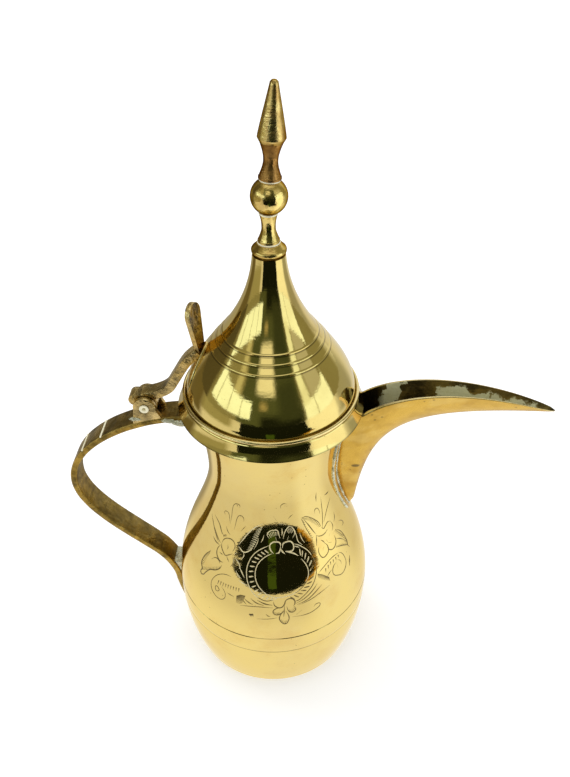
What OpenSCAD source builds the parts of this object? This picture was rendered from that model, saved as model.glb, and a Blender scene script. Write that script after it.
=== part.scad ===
// Dallah: a spun brass coffee pot with a hinged domed lid, a beaked open spout,
// a strap handle and a turned finial. Millimetres, +Z up.
// The pot's axis is Z and it stands on z = 0. The spout points along +X and the handle along -X.

/* [Body] */
// Radius of the flat base
base_r = 44.5; // [41:0.5:47]
// Radius of the belly at its widest
belly_r = 50.5; // [49:0.5:54]
// Height of the widest part of the belly
belly_z = 42; // [36:1:45]
// How far the middle of the shoulder lies inside the belly
shoulder_in = 8.7; // [7:0.1:11]
// Height of the middle of the shoulder
shoulder_z = 84; // [78:1:90]
// Radius of the neck at its narrowest
neck_r = 30.7; // [28:0.1:32]
// Height of the narrowest part of the neck
neck_z = 124; // [118:1:128]
// Radius of the mouth
mouth_r = 36.5; // [34.5:0.1:37]
// Height of the mouth
mouth_z = 166; // [163:0.5:170]
// Thickness of the body's sheet brass
body_wall = 1.2; // [0.8:0.1:1.6]
// Height of the seam between the lower bowl and the upper body
seam_z = 47; // [46:0.5:54]
// Height of the lap inside the seam
lap_h = 4; // [2:0.5:7]
// Thickness of the lap
lap_t = 1; // [0.6:0.1:1.4]
// Height of the scribed line below the seam
scribe_z = 35.5; // [26:0.5:40]
// Radius of the edge between the base and the wall
base_edge_r = 1.5; // [0.6:0.1:2.5]

/* [Lid] */
// How far the foot of the dome stands out beyond the mouth
dome_over = 1.3; // [0.9:0.1:1.9]
// Height of the skirt
skirt_h = 7.1; // [5.5:0.1:8]
// How far the skirt's lower edge flares out beyond its shoulder
skirt_flare = 2.5; // [1.6:0.1:3.4]
// Height of the dome from the skirt to its flat top
dome_h = 67.2; // [63:0.2:70]
// Radius of the dome's slope half way up its curve
dome_waist_r = 22.9; // [21:0.1:25]
// Height of that slope above the skirt
dome_waist_h = 28.7; // [27:0.1:31]
// Radius of the dome's top under the finial
dome_top_r = 6.8; // [6.4:0.1:8]
// Thickness of the lid's sheet brass
lid_wall = 1; // [0.8:0.1:1.3]
// Radius of the bead wire round the foot of the dome
bead_r = 0.9; // [0.6:0.1:1.2]
// Gap between the closed lid and the mouth
lid_gap = 0.3; // [0.2:0.05:0.6]
// Depth of the turned lines on the dome and the belly
scribe_depth = 0.25; // [0.1:0.05:0.4]

/* [Finial] */
// Height of the cap that closes the dome
cap_h = 4.8; // [4:0.2:7]
// Radius of the cap's rounded rim
cap_r = 7.1; // [6.6:0.1:8]
// Height of the lower spool
low_spool_h = 11.4; // [8:0.2:15]
// Radius of the lower spool's foot
low_spool_r = 4.4; // [3.8:0.1:5.2]
// Radius of the ball
ball_r = 7.25; // [6:0.05:9]
// Radius of the flats on which the ball seats
ball_flat_r = 3.7; // [3.2:0.1:4.5]
// Height of the upper spool
top_spool_h = 13.6; // [10:0.2:17]
// Radius of the upper spool's foot
top_spool_r = 4.45; // [3.8:0.05:5.2]
// Radius of both spools at the waist
spool_waist_r = 2.8; // [2.5:0.05:3.3]
// Radius of the lower spool's upper end
low_spool_end_r = 3.7; // [3.4:0.1:4.4]
// Radius of the upper spool's upper end
top_spool_end_r = 4.45; // [3.6:0.05:4.6]
// Height of the spike
spike_h = 21.4; // [16:0.2:28]
// Radius of the spike at its widest
spike_r = 5.4; // [4.6:0.1:6.4]
// Radius of the spike's tip
spike_tip_r = 1.35; // [0.9:0.05:2]
// Lean of the finial from the ball up, in degrees
finial_lean = 3.2; // [0:0.1:4]
// Thickness of the three washers
washer_t = 0.7; // [0.4:0.1:1.2]
// Radius of the rod that holds the finial together
rod_r = 1.5; // [1.2:0.05:1.7]
// Width across the flats of the nut inside the lid
nut_af = 5.5; // [5:0.1:6.4]
// Thickness of the nut
nut_t = 2.4; // [1.6:0.1:3.2]

/* [Spout] */
// Distance of the spout's tip from the pot's axis
spout_reach = 128; // [116:1:140]
// Height of the spout's tip
spout_tip_z = 159.2; // [156:0.2:163]
// Height of the control point that lifts the spout's rim
spout_crown_z = 175.4; // [172:0.2:179]
// Height at which the keel leaves the body
keel_root_z = 94; // [90:1:99]
// Half width of the spout where it meets the body
spout_root_w = 8.6; // [7.5:0.1:10]
// Thickness of the spout's sides at the root
spout_wall = 1.3; // [0.9:0.1:1.6]
// Thickness of the keel
keel_t = 2.2; // [1.4:0.1:3]
// Roundness of the sides: 1 is a sharp V, 0.5 is a bowl
spout_bulge = 0.62; // [0.5:0.02:0.9]
// Height of the pouring window's sill above the keel's root
sill_h = 26; // [20:1:34]
// Width of the flange round the spout's root
flange_w = 2.6; // [1.6:0.1:3.4]
// Thickness of the flange
flange_t = 0.9; // [0.6:0.1:1.2]

/* [Handle] */
// Width of the strap
strap_w = 12.5; // [11:0.25:14]
// Thickness of the strap
strap_t = 3.2; // [2.6:0.1:3.8]
// Distance of the strap's middle line from the pot's axis at the widest point
handle_reach = 98.6; // [92:0.2:106]
// Height of the widest point of the handle
handle_mid_z = 107; // [102:1:112]
// Depth of the strap's middle line below the hinge pin, where it leaves the neck
handle_drop = 5.8; // [5.2:0.1:7]
// Height of the lower end of the tab on the neck
tab_z = 139; // [137:0.5:142]
// Height of the tail's lower end on the belly
tail_z = 16; // [12:1:20]
// Thickness of the tail's lower end
tail_t = 1; // [0.6:0.1:1.6]
// Half width of the two filed lines across the strap
file_r = 0.45; // [0.3:0.05:0.6]

/* [Hinge] */
// Distance of the hinge pin behind the skirt's edge
pin_back = 15.5; // [14.6:0.1:17]
// Depth of the hinge pin below the mouth
pin_drop = 8.9; // [8.2:0.1:9.4]
// Radius of the hinge pin
pin_r = 1.6; // [1.2:0.1:2]
// Radius of the hole through the tubular pin
pin_hole_r = 0.8; // [0.5:0.1:1]
// Radius of the flared ends of the pin
pin_head_r = 2.2; // [2.1:0.1:2.8]
// Thickness of the flared ends
pin_head_t = 0.5; // [0.3:0.1:0.8]
// Radius of the two ears
ear_r = 5.3; // [4.6:0.1:6]
// Thickness of each ear
ear_t = 2.6; // [2:0.1:3]
// Gap between the knuckle and each ear
knuckle_gap = 0.3; // [0.2:0.05:0.5]
// Radius of the lever's knuckle
knuckle_r = 5.4; // [4.6:0.1:5.8]
// Reach of the heel behind the pin
heel_reach = 8.2; // [7:0.1:8.4]
// Lift of the heel above the pin, in degrees
heel_lift = 28; // [22:1:36]
// Thickness of the lever's arm
arm_t = 4.2; // [3:0.1:4.4]
// Height above the dome's foot at which the arm ends
arm_end_h = 19.5; // [17:0.1:21.5]
// Height of the thumb piece
thumb_h = 24.6; // [18:0.2:28]
// Radius of the thumb piece's round end
thumb_r = 5.2; // [4.4:0.1:6]
// Half width of the thumb piece's foot
thumb_foot_w = 2.6; // [1.8:0.1:3.2]
// Thickness of the thumb piece
thumb_t = 2.2; // [1.8:0.1:3]
// Lean of the thumb piece away from the dome, in degrees
thumb_lean = 6.3; // [2:0.1:14]
// Turn of the thumb piece about its own upright, in degrees
thumb_turn = 17; // [0:1:35]

/* [Hidden] */

polished = [0.86, 0.68, 0.30];
cast = [0.55, 0.42, 0.20];
copper = [0.62, 0.40, 0.22];
tin = [0.72, 0.72, 0.66];
$fn = 96;

seat = 0.02;       // gap between soldered pieces, so that their faces stay apart
run = 0.05;        // radial clearance of a pin or rod in its hole
lap_gap = 0.08;    // clearance of the lap inside the upper body
over = 1;          // how far a cutter runs past what it cuts
steps = 10;        // segments in one span of a curve

// Hermite curve through [z, r, slope] stations
function span(s, z, i = 0) = i >= len(s) - 2 || z <= s[i + 1][0] ? i : span(s, z, i + 1);
function hermite(a, b, z) =
    let (h = b[0] - a[0], t = (z - a[0]) / h)
    (1 + 2 * t) * (1 - t) * (1 - t) * a[1] + t * (1 - t) * (1 - t) * h * a[2]
    + t * t * (3 - 2 * t) * b[1] - t * t * (1 - t) * h * b[2];
function along(s, z) = let (i = span(s, z)) hermite(s[i], s[i + 1], z);
function ramp(a, b, n) = [for (i = [0:n]) a + (b - a) * i / n];
function bezier(p, t) =
    pow(1 - t, 3) * p[0] + 3 * t * pow(1 - t, 2) * p[1] + 3 * t * t * (1 - t) * p[2] + pow(t, 3) * p[3];
function unit(v) = v / norm(v);
function reversed(v) = [for (i = [len(v) - 1:-1:0]) v[i]];
function arc(c, r, a0, a1, n) = [for (a = ramp(a0, a1, n)) c + r * [cos(a), sin(a)]];

// Catmull-Rom curve through points
function smooth_point(a, b, c, d, t) =
    0.5 * (2 * b + (c - a) * t + (2 * a - 5 * b + 4 * c - d) * t * t + (3 * b - a - 3 * c + d) * t * t * t);
function smooth(p, n) = [for (i = [0:len(p) - 2], t = ramp(0, 1 - 1 / n, n - 1))
    smooth_point(i == 0 ? 2 * p[0] - p[1] : p[i - 1], p[i], p[i + 1],
        i == len(p) - 2 ? 2 * p[i + 1] - p[i] : p[i + 2], t), p[len(p) - 1]];

// A strip of varying thickness along a centre line, as one outline
function normals(c) = [for (i = [0:len(c) - 1])
    let (d = unit(c[min(i + 1, len(c) - 1)] - c[max(i - 1, 0)])) [-d[1], d[0]]];
function strip(c, t) = let (n = normals(c), last = len(c) - 1) concat(
    [for (i = [0:last]) c[i] + n[i] * t[i] / 2],
    [for (i = [last:-1:0]) c[i] - n[i] * t[i] / 2]);

// Body outline: outer radius and outward slope at a height
base_slope = 0.32;
shoulder_slope = -0.4;
mouth_slope = 0.2;
body_line = [[0, base_r, base_slope], [belly_z, belly_r, 0],
    [shoulder_z, belly_r - shoulder_in, shoulder_slope],
    [neck_z, neck_r, 0], [mouth_z, mouth_r, mouth_slope]];
function body_at(z) = along(body_line, z);
function body_wall_line(z0, z1, inset, n) = [for (z = ramp(z0, z1, n)) [body_at(z) - inset, z]];

// Lid heights, from the mouth up
flange_z = mouth_z + lid_gap;
dome_z = flange_z + lid_wall;
dome_top_z = dome_z + dome_h;
dome_base_r = mouth_r + dome_over;
skirt_shoulder_r = dome_base_r + 2 * bead_r;
skirt_r = skirt_shoulder_r + skirt_flare;
skirt_edge_z = dome_z - skirt_h;
skirt_edge = 0.3;                  // bevel of the skirt's shoulder and lower edge
ledge_w = 2.2;                     // reach of the skirt's ledge in from the mouth's outside
spun_thick = 1.1;                  // the spun walls are this much thicker on the slope
dome_slope = -0.8;
dome_top_slope = -0.08;
dome_line = [[dome_z, dome_base_r, 0], [dome_z + dome_waist_h, dome_waist_r, dome_slope],
    [dome_top_z, dome_top_r, dome_top_slope]];
function dome_at(z) = along(dome_line, z);
dome_rings = [25.4, 28.8, 32.1];   // heights of the turned rings above the dome's foot

// Finial heights, each piece on the one below
ball_half = sqrt(ball_r * ball_r - ball_flat_r * ball_flat_r);
washer_low_z = dome_top_z + cap_h;
spool_low_z = washer_low_z + washer_t;
washer_mid_z = spool_low_z + low_spool_h;
ball_z = washer_mid_z + washer_t + ball_flat_r * tan(finial_lean);
washer_top_z = ball_z + 2 * ball_half;
spool_top_z = washer_top_z + washer_t;
spike_z = spool_top_z + top_spool_h;
spike_grip = 9;                    // how far the rod reaches into the spike

// Spout: a fan of V sections between the rim curve and the keel curve
root_drop = 1.4;        // depth of the root's upper corners below the skirt's edge
rim_root_z = skirt_edge_z - root_drop;
foot_r = flange_t + seat;
function on_flange(y, z) = sqrt(pow(body_at(z) + foot_r, 2) - y * y);
skirt_pass = 0.65;      // how far the rim passes below the skirt's edge
rim_start = [skirt_r - 0.4, skirt_edge_z - skirt_pass];
rim_run = spout_reach - rim_start[0];
rim_rise = 4.8;         // depth of the rim's first bend below its crown
rim_bends = [0.16, 0.5];        // places of the rim's two bends along its run
rim_line = [rim_start, [rim_start[0] + rim_bends[0] * rim_run, spout_crown_z - rim_rise],
    [rim_start[0] + rim_bends[1] * rim_run, spout_crown_z], [spout_reach, spout_tip_z]];
keel_start = [1.6, 4];          // from the keel's root on the body
keel_low_bend = [15.7, 21.1];   // from the narrowest part of the neck
keel_high_bend = [22.4, 0.2];   // out from the neck, and up from the tip
keel_end = [-0.4, -0.7];        // from the tip
keel_line = [[body_at(keel_root_z) + foot_r, keel_root_z] + keel_start, [neck_r, neck_z] + keel_low_bend,
    [neck_r, spout_tip_z] + keel_high_bend, [spout_reach, spout_tip_z] + keel_end];
spout_stations = 18;
spout_sides = 8;
spout_taper = 0.42;
tip_w = 0.2;            // half width of the outside at the tip
tip_inner_w = 0.06;     // half width of the trough at the tip
tip_thin = 0.8;         // share of the wall that is filed away towards the tip
function spout_w(u) = spout_root_w * pow(1 - u, spout_taper) + tip_w * u;
function thin(u) = 1 - tip_thin * u;
// The root follows the flange on the body, from the keel up to the rim
function root_point(s, side, wall, lift) =
    let (z = keel_root_z + lift + (rim_root_z - keel_root_z - lift) * s,
        y = side * (spout_root_w - wall) * pow(s, spout_bulge))
    [on_flange(y, z), y, z];
function fan_point(u, s, side, wall, lift) =
    let (r = bezier(rim_line, u), k0 = bezier(keel_line, u),
        k = k0 + unit(r - k0) * lift, p = k + (r - k) * s)
    [p[0], side * max(spout_w(u) - wall, tip_inner_w) * pow(s, spout_bulge), p[1]];
function spout_point(i, j, wall, lift) =
    let (side = j < 0 ? -1 : 1, s = abs(j) / spout_sides, u = (i - 1) / (spout_stations - 1))
    i == 0 ? root_point(s, side, wall, lift) : fan_point(u, s, side, wall * thin(u), lift * thin(u));
// Half width of the root's outline at a height, and outlines across the body from it
function root_w(z, grow) =
    grow + spout_root_w * pow(max(0, (z - keel_root_z) / (rim_root_z - keel_root_z)), spout_bulge);

// Handle: middle line of the strap, from the tab on the neck to the tail on the belly
pin_x = skirt_r + pin_back;
pin_z = mouth_z - pin_drop;
pin = [-pin_x, pin_z];
tab_h = 7;              // length of the tab that lies on the neck
tail_touch_z = 34;      // height at which the tail meets the belly
tail_gap = 0.06;        // allowance for the belly's curve under the tail
tail_steps = 6;
function on_neck(z) = [-(body_at(z) + seat + strap_t / 2), z];
function tail_thick(z) = tail_t + (strap_t - tail_t) * (z - tail_z) / (tail_touch_z - tail_z);
function on_belly(z) = [-(body_at(z) + seat + tail_thick(z) / 2 + tail_gap), z];
tab_bend_z = tab_z + tab_h;
strap_start = pin + [15.6, -handle_drop];       // where the strap leaves the neck
strap_far = [-handle_reach, handle_mid_z];
strap_low = [-belly_r, belly_z] + [-11.5, 14.5];    // where it turns in to the belly
// Each curve starts and ends on those points; the middle pair are their pulls
strap_curves = [
    [on_neck(tab_bend_z), on_neck(tab_bend_z) + [-0.5, 4], strap_start + [4, 0.3], strap_start],
    [strap_start, strap_start + [-22, -1.7], strap_far + [0, 26], strap_far],
    [strap_far, strap_far + [0, -19], strap_low + [-14, 14.5], strap_low],
    [strap_low, strap_low + [5, -5.2], on_belly(tail_touch_z) + [-0.2, 8], on_belly(tail_touch_z)]];
strap_line = concat(
    [for (z = ramp(tab_z, tab_bend_z, 3)) on_neck(z)],
    [for (c = strap_curves, t = ramp(1 / steps, 1, steps - 1)) bezier(c, t)],
    [for (z = ramp(tail_touch_z, tail_z, tail_steps)) if (z < tail_touch_z) on_belly(z)]);
strap_thick = concat([for (i = [1:len(strap_line) - tail_steps]) strap_t],
    [for (z = ramp(tail_touch_z, tail_z, tail_steps)) if (z < tail_touch_z) tail_thick(z)]);
function thicker(t, by) = [for (v = t) v + by];
file_marks = [0.52, 0.69];         // places of the filed lines along the upper arch

// Hinge and lever
ear_y = strap_w / 2 - ear_t / 2;
ear_feet = [[-6.6, -11.2], [9.2, -9.2]];      // lower corners of an ear, from the pin
ear_sweep = 12;         // how far the ear's round passes below the pin's level, in degrees
knuckle_w = strap_w - 2 * ear_t - 2 * knuckle_gap;
heel_r = 3;
arm_end_z = dome_z + arm_end_h;
arm_points = [[-1, 4.2], [5.8, 6], [11.6, 9.4], [15.1, 14.9], [20.7, 24.1]];    // middle line, from the pin
arm_lift = 1.2;         // of the arm's end off the dome
arm_line = smooth(concat([for (p = arm_points) pin + p],
    [[-(dome_at(arm_end_z) + arm_lift), arm_end_z]]), 5);
thumb_foot = [-dome_at(arm_end_z), arm_end_z] + [-0.7, -1.5];

module turned(outline) rotate_extrude() polygon(outline);
// Extrudes an outline drawn in X and Z across the pot, centred on y
module across(w, y = 0) translate([0, y + w / 2, 0]) rotate([90, 0, 0]) linear_extrude(w) children();
module pin_hole(r, w) translate([pin[0], w / 2, pin[1]]) rotate([90, 0, 0]) cylinder(r = r, h = w);
module ring_cut(r, z, depth) rotate_extrude() translate([r, z]) circle(r = depth, $fn = 16);
module body_solid(grow = 0, z0 = 0, z1 = mouth_z)
    turned(concat([[0, z0]], body_wall_line(z0, z1, -grow, 5 * steps), [[0, z1]]));
module dome_solid(grow = 0)
    turned(concat([[0, dome_z]], [for (z = ramp(dome_z, dome_top_z, 4 * steps)) [dome_at(z) + grow, z]],
        [[0, dome_top_z]]));

// The lower bowl: a flat base, a rounded edge and the wall up to the seam, with a lap inside it
module lower_bowl() color(polished) difference() {
    edge_z = base_edge_r;
    lap_low = body_at(seam_z) - body_wall - lap_gap;
    lap_high = body_at(seam_z + lap_h) - body_wall - lap_gap;
    turned(concat(
        [[0, 0]],
        arc([body_at(edge_z) - base_edge_r, base_edge_r], base_edge_r, -90, 0, 6),
        [for (z = ramp(edge_z, seam_z, 2 * steps)) if (z > edge_z) [body_at(z), z]],
        [[lap_low, seam_z], [lap_high, seam_z + lap_h], [lap_high - lap_t, seam_z + lap_h],
            [lap_low - lap_t, seam_z - lap_h]],
        reversed([for (z = ramp(edge_z + body_wall, seam_z - 2 * lap_h, steps)) [body_at(z) - body_wall, z]]),
        [[body_at(edge_z) - body_wall - base_edge_r, body_wall], [0, body_wall]]));
    ring_cut(body_at(scribe_z), scribe_z, scribe_depth);
}

// The upper body: belly, shoulder, neck and flared mouth, with the pouring window behind the spout
module upper_body() color(polished) difference() {
    turned(concat(
        body_wall_line(seam_z + seat, mouth_z, 0, 5 * steps),
        reversed(body_wall_line(seam_z + seat, mouth_z, body_wall, 5 * steps))));
    ring_cut(body_at(seam_z), seam_z, scribe_depth);
    pour_window();
}

module root_outline(z0, z1, grow) {
    rise = [for (z = ramp(z0, z1, 2 * steps)) [root_w(z, grow), z]];
    polygon(concat(rise, reversed([for (p = rise) [-p[0], p[1]]])));
}
module out_from_body(depth) rotate([90, 0, 90]) linear_extrude(depth) children();

window_margin = 2.5;    // metal left above the pouring window
window_in = 1;          // how far the window's sides lie inside the spout's walls
flange_open_h = 12;     // height of the flange's opening above the keel's root
flange_in = 0.6;        // how far that opening lies inside the spout's walls
flange_point = 1.3;     // length of the flange's point below the keel, in flange widths

module pour_window() out_from_body(mouth_r + over)
    root_outline(keel_root_z + sill_h, rim_root_z - window_margin, -spout_wall - window_in);

// The flange that seats the spout on the body
module spout_flange() color(tin) intersection() {
    low_z = keel_root_z - 3 * flange_w;
    difference() {
        body_solid(flange_t + seat / 2, low_z, rim_root_z);
        body_solid(seat / 2, low_z - over, rim_root_z + over);
    }
    out_from_body(mouth_r + flange_w) difference() {
        polygon(concat([[0, keel_root_z - flange_point * flange_w]],
            [for (z = ramp(keel_root_z, rim_root_z, 2 * steps)) [root_w(z, flange_w), z]],
            reversed([for (z = ramp(keel_root_z, rim_root_z, 2 * steps)) [-root_w(z, flange_w), z]])));
        root_outline(keel_root_z + flange_open_h, rim_root_z + over, -spout_wall - flange_in);
    }
}

// The spout: a beak-shaped trough, open along its top
module spout() {
    nj = 2 * spout_sides + 1;
    function face(wall, lift) =
        [for (i = [0:spout_stations], j = [-spout_sides:spout_sides]) spout_point(i, j, wall, lift)];
    outer = face(0, 0);
    inner = face(spout_wall, keel_t);
    shift = len(outer);
    last = spout_stations * nj;
    function quad(a, b, c, d) = [[a, b, c], [a, c, d]];
    skin = [for (i = [0:spout_stations - 1], j = [0:nj - 2]) let (a = i * nj + j, b = a + nj)
        each concat(quad(a, b, b + 1, a + 1), quad(shift + a, shift + a + 1, shift + b + 1, shift + b))];
    rims = [for (i = [0:spout_stations - 1]) let (a = i * nj, b = a + nj, c = a + nj - 1, d = b + nj - 1)
        each concat(quad(a, shift + a, shift + b, b), quad(c, d, shift + d, shift + c))];
    ends = [for (j = [0:nj - 2])
        each concat(quad(j, j + 1, shift + j + 1, shift + j),
            quad(last + j, last + shift + j, last + shift + j + 1, last + j + 1))];
    color(polished) polyhedron(concat(outer, inner), concat(skin, rims, ends));
}

// The handle: a strap bent from one bar, with two filed lines and a drawn-out tail
module strap_solid() across(strap_w) polygon(strip(strap_line, strap_thick));
module handle_strap() color(cast) difference() {
    strap_solid();
    for (m = file_marks) {
        p = bezier(strap_curves[1], m);
        d = unit(bezier(strap_curves[1], m + 0.01) - p);
        at = p + [d[1], -d[0]] * strap_t / 2;
        translate([at[0], strap_w / 2 + over, at[1]]) rotate([90, 0, 0])
            cylinder(r = file_r, h = strap_w + 2 * over, $fn = 24);
    }
}

// Solder that fills the wedge between the strap and the belly
solder_start = 0.45;    // place along the strap's last curve at which the wedge is closed
solder_in = 1;          // how far the solder stays in from the strap's edges
solder_depth = 3;       // how far its block reaches inside the belly before it is trimmed
module handle_solder() color(tin) difference() {
    inner = [for (t = ramp(solder_start, 1, steps)) bezier(strap_curves[3], t)];
    back_x = solder_depth - belly_r;
    across(strap_w - 2 * solder_in) polygon(concat(inner, [[back_x, tail_touch_z], [back_x, inner[0][1]]]));
    body_solid(seat, 1, shoulder_z);
    across(strap_w) polygon(strip(strap_line, thicker(strap_thick, 2 * seat)));
}

// The two ears of the hinge, brazed to the strap's edges
module hinge_ear(side) color(cast) difference() {
    across(ear_t, side * ear_y) polygon(concat(
        arc(pin, ear_r, -ear_sweep, 180 + ear_sweep, 24), [for (p = ear_feet) pin + p]));
    across(strap_w + over) polygon(strip(strap_line, thicker(strap_thick, seat)));
    pin_hole(pin_r, strap_w + over);
    strap_below();
}
// Clears everything under the strap's upper face at the hinge
module strap_below() {
    far = bezier(strap_curves[1], 0.6);
    across(strap_w + over) polygon([strap_start, bezier(strap_curves[1], 0.3), far,
        far - [0, strap_w], strap_start - [0, strap_w]]);
}
module hinge_ear_front() hinge_ear(-1);
module hinge_ear_back() hinge_ear(1);

// The pin: a tube flared over at both ends
module hinge_pin() color(tin) difference() {
    union() {
        pin_hole(pin_r, strap_w);
        for (side = [-1, 1])
            translate([0, side * (strap_w + pin_head_t) / 2, 0]) pin_hole(pin_head_r, pin_head_t);
    }
    pin_hole(pin_hole_r, strap_w + 4 * pin_head_t);
}

// The lever: knuckle, heel and arm in one casting, seated on the dome
arm_thick = [for (p = arm_line) arm_t];
module lever_solid() {
    across(knuckle_w) polygon(strip(arm_line, arm_thick));
    pin_hole(knuckle_r, knuckle_w);
    heel = pin + (heel_reach - heel_r) * [-cos(heel_lift), sin(heel_lift)];
    translate([heel[0], knuckle_w / 2, heel[1]]) rotate([90, 0, 0]) cylinder(r = heel_r, h = knuckle_w);
    across(knuckle_w) polygon([heel + [0, heel_r], pin + [0, knuckle_r], pin, heel - [0, heel_r]]);
}
module lid_lever() color(cast) difference() {
    lever_solid();
    pin_hole(pin_r + run, knuckle_w + over);
    dome_solid(seat);
}

// The thumb piece: a teardrop plate that stands on the end of the arm
module thumb_piece() color(cast) difference() {
    top = thumb_h - thumb_r;
    turn = asin((thumb_r - thumb_foot_w) / top);
    outline = concat([[-thumb_foot_w, 0], [thumb_foot_w, 0]], arc([0, top], thumb_r, -turn, 180 + turn, 24));
    translate([thumb_foot[0], 0, thumb_foot[1]]) rotate([0, -thumb_lean, -thumb_turn])
        rotate([90, 0, 90]) translate([0, 0, -thumb_t / 2]) linear_extrude(thumb_t) polygon(outline);
    across(knuckle_w) polygon(strip(arm_line, thicker(arm_thick, 2 * seat)));
    dome_solid(seat);
}

// The dome: a spun onion shape with three turned rings and a flat top for the finial
module lid_dome() color(polished) difference() {
    foot_z = dome_z + seat;
    crown_z = dome_top_z - lid_wall;
    turned(concat(
        [for (z = ramp(foot_z, dome_top_z, 4 * steps)) [dome_at(z), z]],
        [[rod_r + run, dome_top_z], [rod_r + run, crown_z]],
        reversed([for (z = ramp(foot_z, crown_z, 4 * steps)) [dome_at(z) - spun_thick * lid_wall, z]])));
    for (h = dome_rings) ring_cut(dome_at(dome_z + h), dome_z + h, scribe_depth);
}

// The skirt: a flared ring with an inner ledge that sits on the mouth
module lid_skirt() color(polished) turned([
    [mouth_r - ledge_w, flange_z], [mouth_r - ledge_w, dome_z],
    [skirt_shoulder_r - skirt_edge, dome_z], [skirt_shoulder_r, dome_z - skirt_edge],
    [skirt_r, skirt_edge_z + skirt_edge], [skirt_r - 0.6 * skirt_edge, skirt_edge_z],
    [skirt_r - spun_thick * lid_wall, skirt_edge_z], [skirt_shoulder_r - spun_thick * lid_wall, flange_z]]);

// The bead: a wire soldered round the foot of the dome
module lid_bead() color(polished) rotate_extrude()
    translate([dome_base_r + bead_r + seat, dome_z + bead_r + seat]) circle(r = bead_r, $fn = 24);

// The ball and what stands on it lean over together from the ball's seat
module leaning() translate([0, 0, ball_z]) rotate([0, finial_lean, 0]) translate([0, 0, -ball_z]) children();
module finial_hole(z0, z1) translate([0, 0, z0]) cylinder(r = rod_r + run, h = z1 - z0);
module stacked(z, h) difference() {
    translate([0, 0, z]) children();
    finial_hole(z - over, z + h + over);
}

// The cap: a rounded collar that closes the dome
cap_neck = 0.9;     // depth of the neck under the cap's rim
cap_rim_r = 1.5;    // roundness of that rim
cap_seat = 0.5;     // the cap's top is this much wider than the spool on it
module finial_cap() color(polished) stacked(dome_top_z + seat, cap_h) turned(concat(
    [[0, 0], [cap_r - cap_neck, 0]],
    arc([cap_r - cap_rim_r, 0.4 * cap_h], cap_rim_r, -60, 65, 8),
    [[low_spool_r + cap_seat, cap_h - 2 * seat], [0, cap_h - 2 * seat]]));

module washer(z, r) color(tin) stacked(z, washer_t)
    turned([[0, 0], [r, 0], [r, washer_t - seat], [0, washer_t - seat]]);
module washer_low() washer(washer_low_z, low_spool_r + 0.2);
module washer_mid() washer(washer_mid_z, ball_flat_r + 0.1);
module washer_top() leaning() washer(washer_top_z, ball_flat_r + 0.5);

// A spool: an hourglass with its waist at mid height, on a narrow collar
collar_h = 0.8;
collar_step = 0.15;
foot_slope = -0.35;
end_slope = 0.4;
function spool_line(h, foot, end) =
    [[collar_h, foot - collar_step, foot_slope], [h / 2, spool_waist_r, 0], [h - seat, end, end_slope]];
module spool(z, h, foot, end) stacked(z, h) turned(concat([[0, 0], [foot, 0], [foot, collar_h]],
    [for (t = ramp(collar_h, h - seat, 2 * steps)) [along(spool_line(h, foot, end), t), t]],
    [[0, h - seat]]));
module spool_low() color(polished) spool(spool_low_z, low_spool_h, low_spool_r, low_spool_end_r);
module spool_top() color(copper) leaning() spool(spool_top_z, top_spool_h, top_spool_r, top_spool_end_r);

module finial_ball() color(polished) leaning() stacked(ball_z, 2 * ball_half) intersection() {
    translate([0, 0, ball_half]) sphere(r = ball_r);
    cylinder(r = ball_r + over, h = 2 * ball_half - seat);
}

// The spike: a slim cone with a bevelled foot and a blind hole for the rod
module finial_spike() color(polished) leaning() difference() {
    foot_h = 0.08 * spike_h;
    translate([0, 0, spike_z]) turned(concat(
        [[0, 0], [top_spool_end_r, 0], [spike_r, foot_h], [spike_r - 0.1, foot_h + 0.5]],
        [for (t = ramp(0, 1, 8)) bezier([[spike_r - 0.15, foot_h + 1], [spike_r - 1.2, 0.4 * spike_h],
            [spike_tip_r + 1.1, 0.75 * spike_h], [spike_tip_r + 0.2, spike_h - 0.7]], t)],
        [[0.7 * spike_tip_r, spike_h], [0, spike_h]]));
    finial_hole(spike_z - over, spike_z + spike_grip);
}

// The rod runs from below the nut inside the lid up into the spike, with a bend at the ball's seat
rod_below = 1.5;    // length of the rod below the nut
rod_short = 0.4;    // gap above the rod in the spike's hole
rod_z = dome_top_z - lid_wall - nut_t - rod_below;
rod_top_z = spike_z + spike_grip - rod_short;
bend = 0.4;         // how far each straight runs past the bend
module finial_rod() color(polished) {
    translate([0, 0, rod_z]) cylinder(r = rod_r, h = ball_z + bend - rod_z);
    leaning() translate([0, 0, ball_z - bend]) cylinder(r = rod_r, h = rod_top_z - ball_z + bend);
}
module finial_nut() color(polished) translate([0, 0, dome_top_z - lid_wall - nut_t - seat]) difference() {
    cylinder(r = nut_af / sqrt(3), h = nut_t, $fn = 6);
    translate([0, 0, -over]) cylinder(r = rod_r + run, h = nut_t + 2 * over);
}

lower_bowl();
upper_body();
spout();
spout_flange();
handle_strap();
handle_solder();
hinge_ear_front();
hinge_ear_back();
hinge_pin();
lid_lever();
thumb_piece();
lid_dome();
lid_skirt();
lid_bead();
finial_cap();
washer_low();
spool_low();
washer_mid();
finial_ball();
washer_top();
spool_top();
finial_spike();
finial_rod();
finial_nut();
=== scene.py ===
import bmesh
import bpy
import math
from itertools import accumulate
from mathutils import Matrix, Vector, noise


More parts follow.
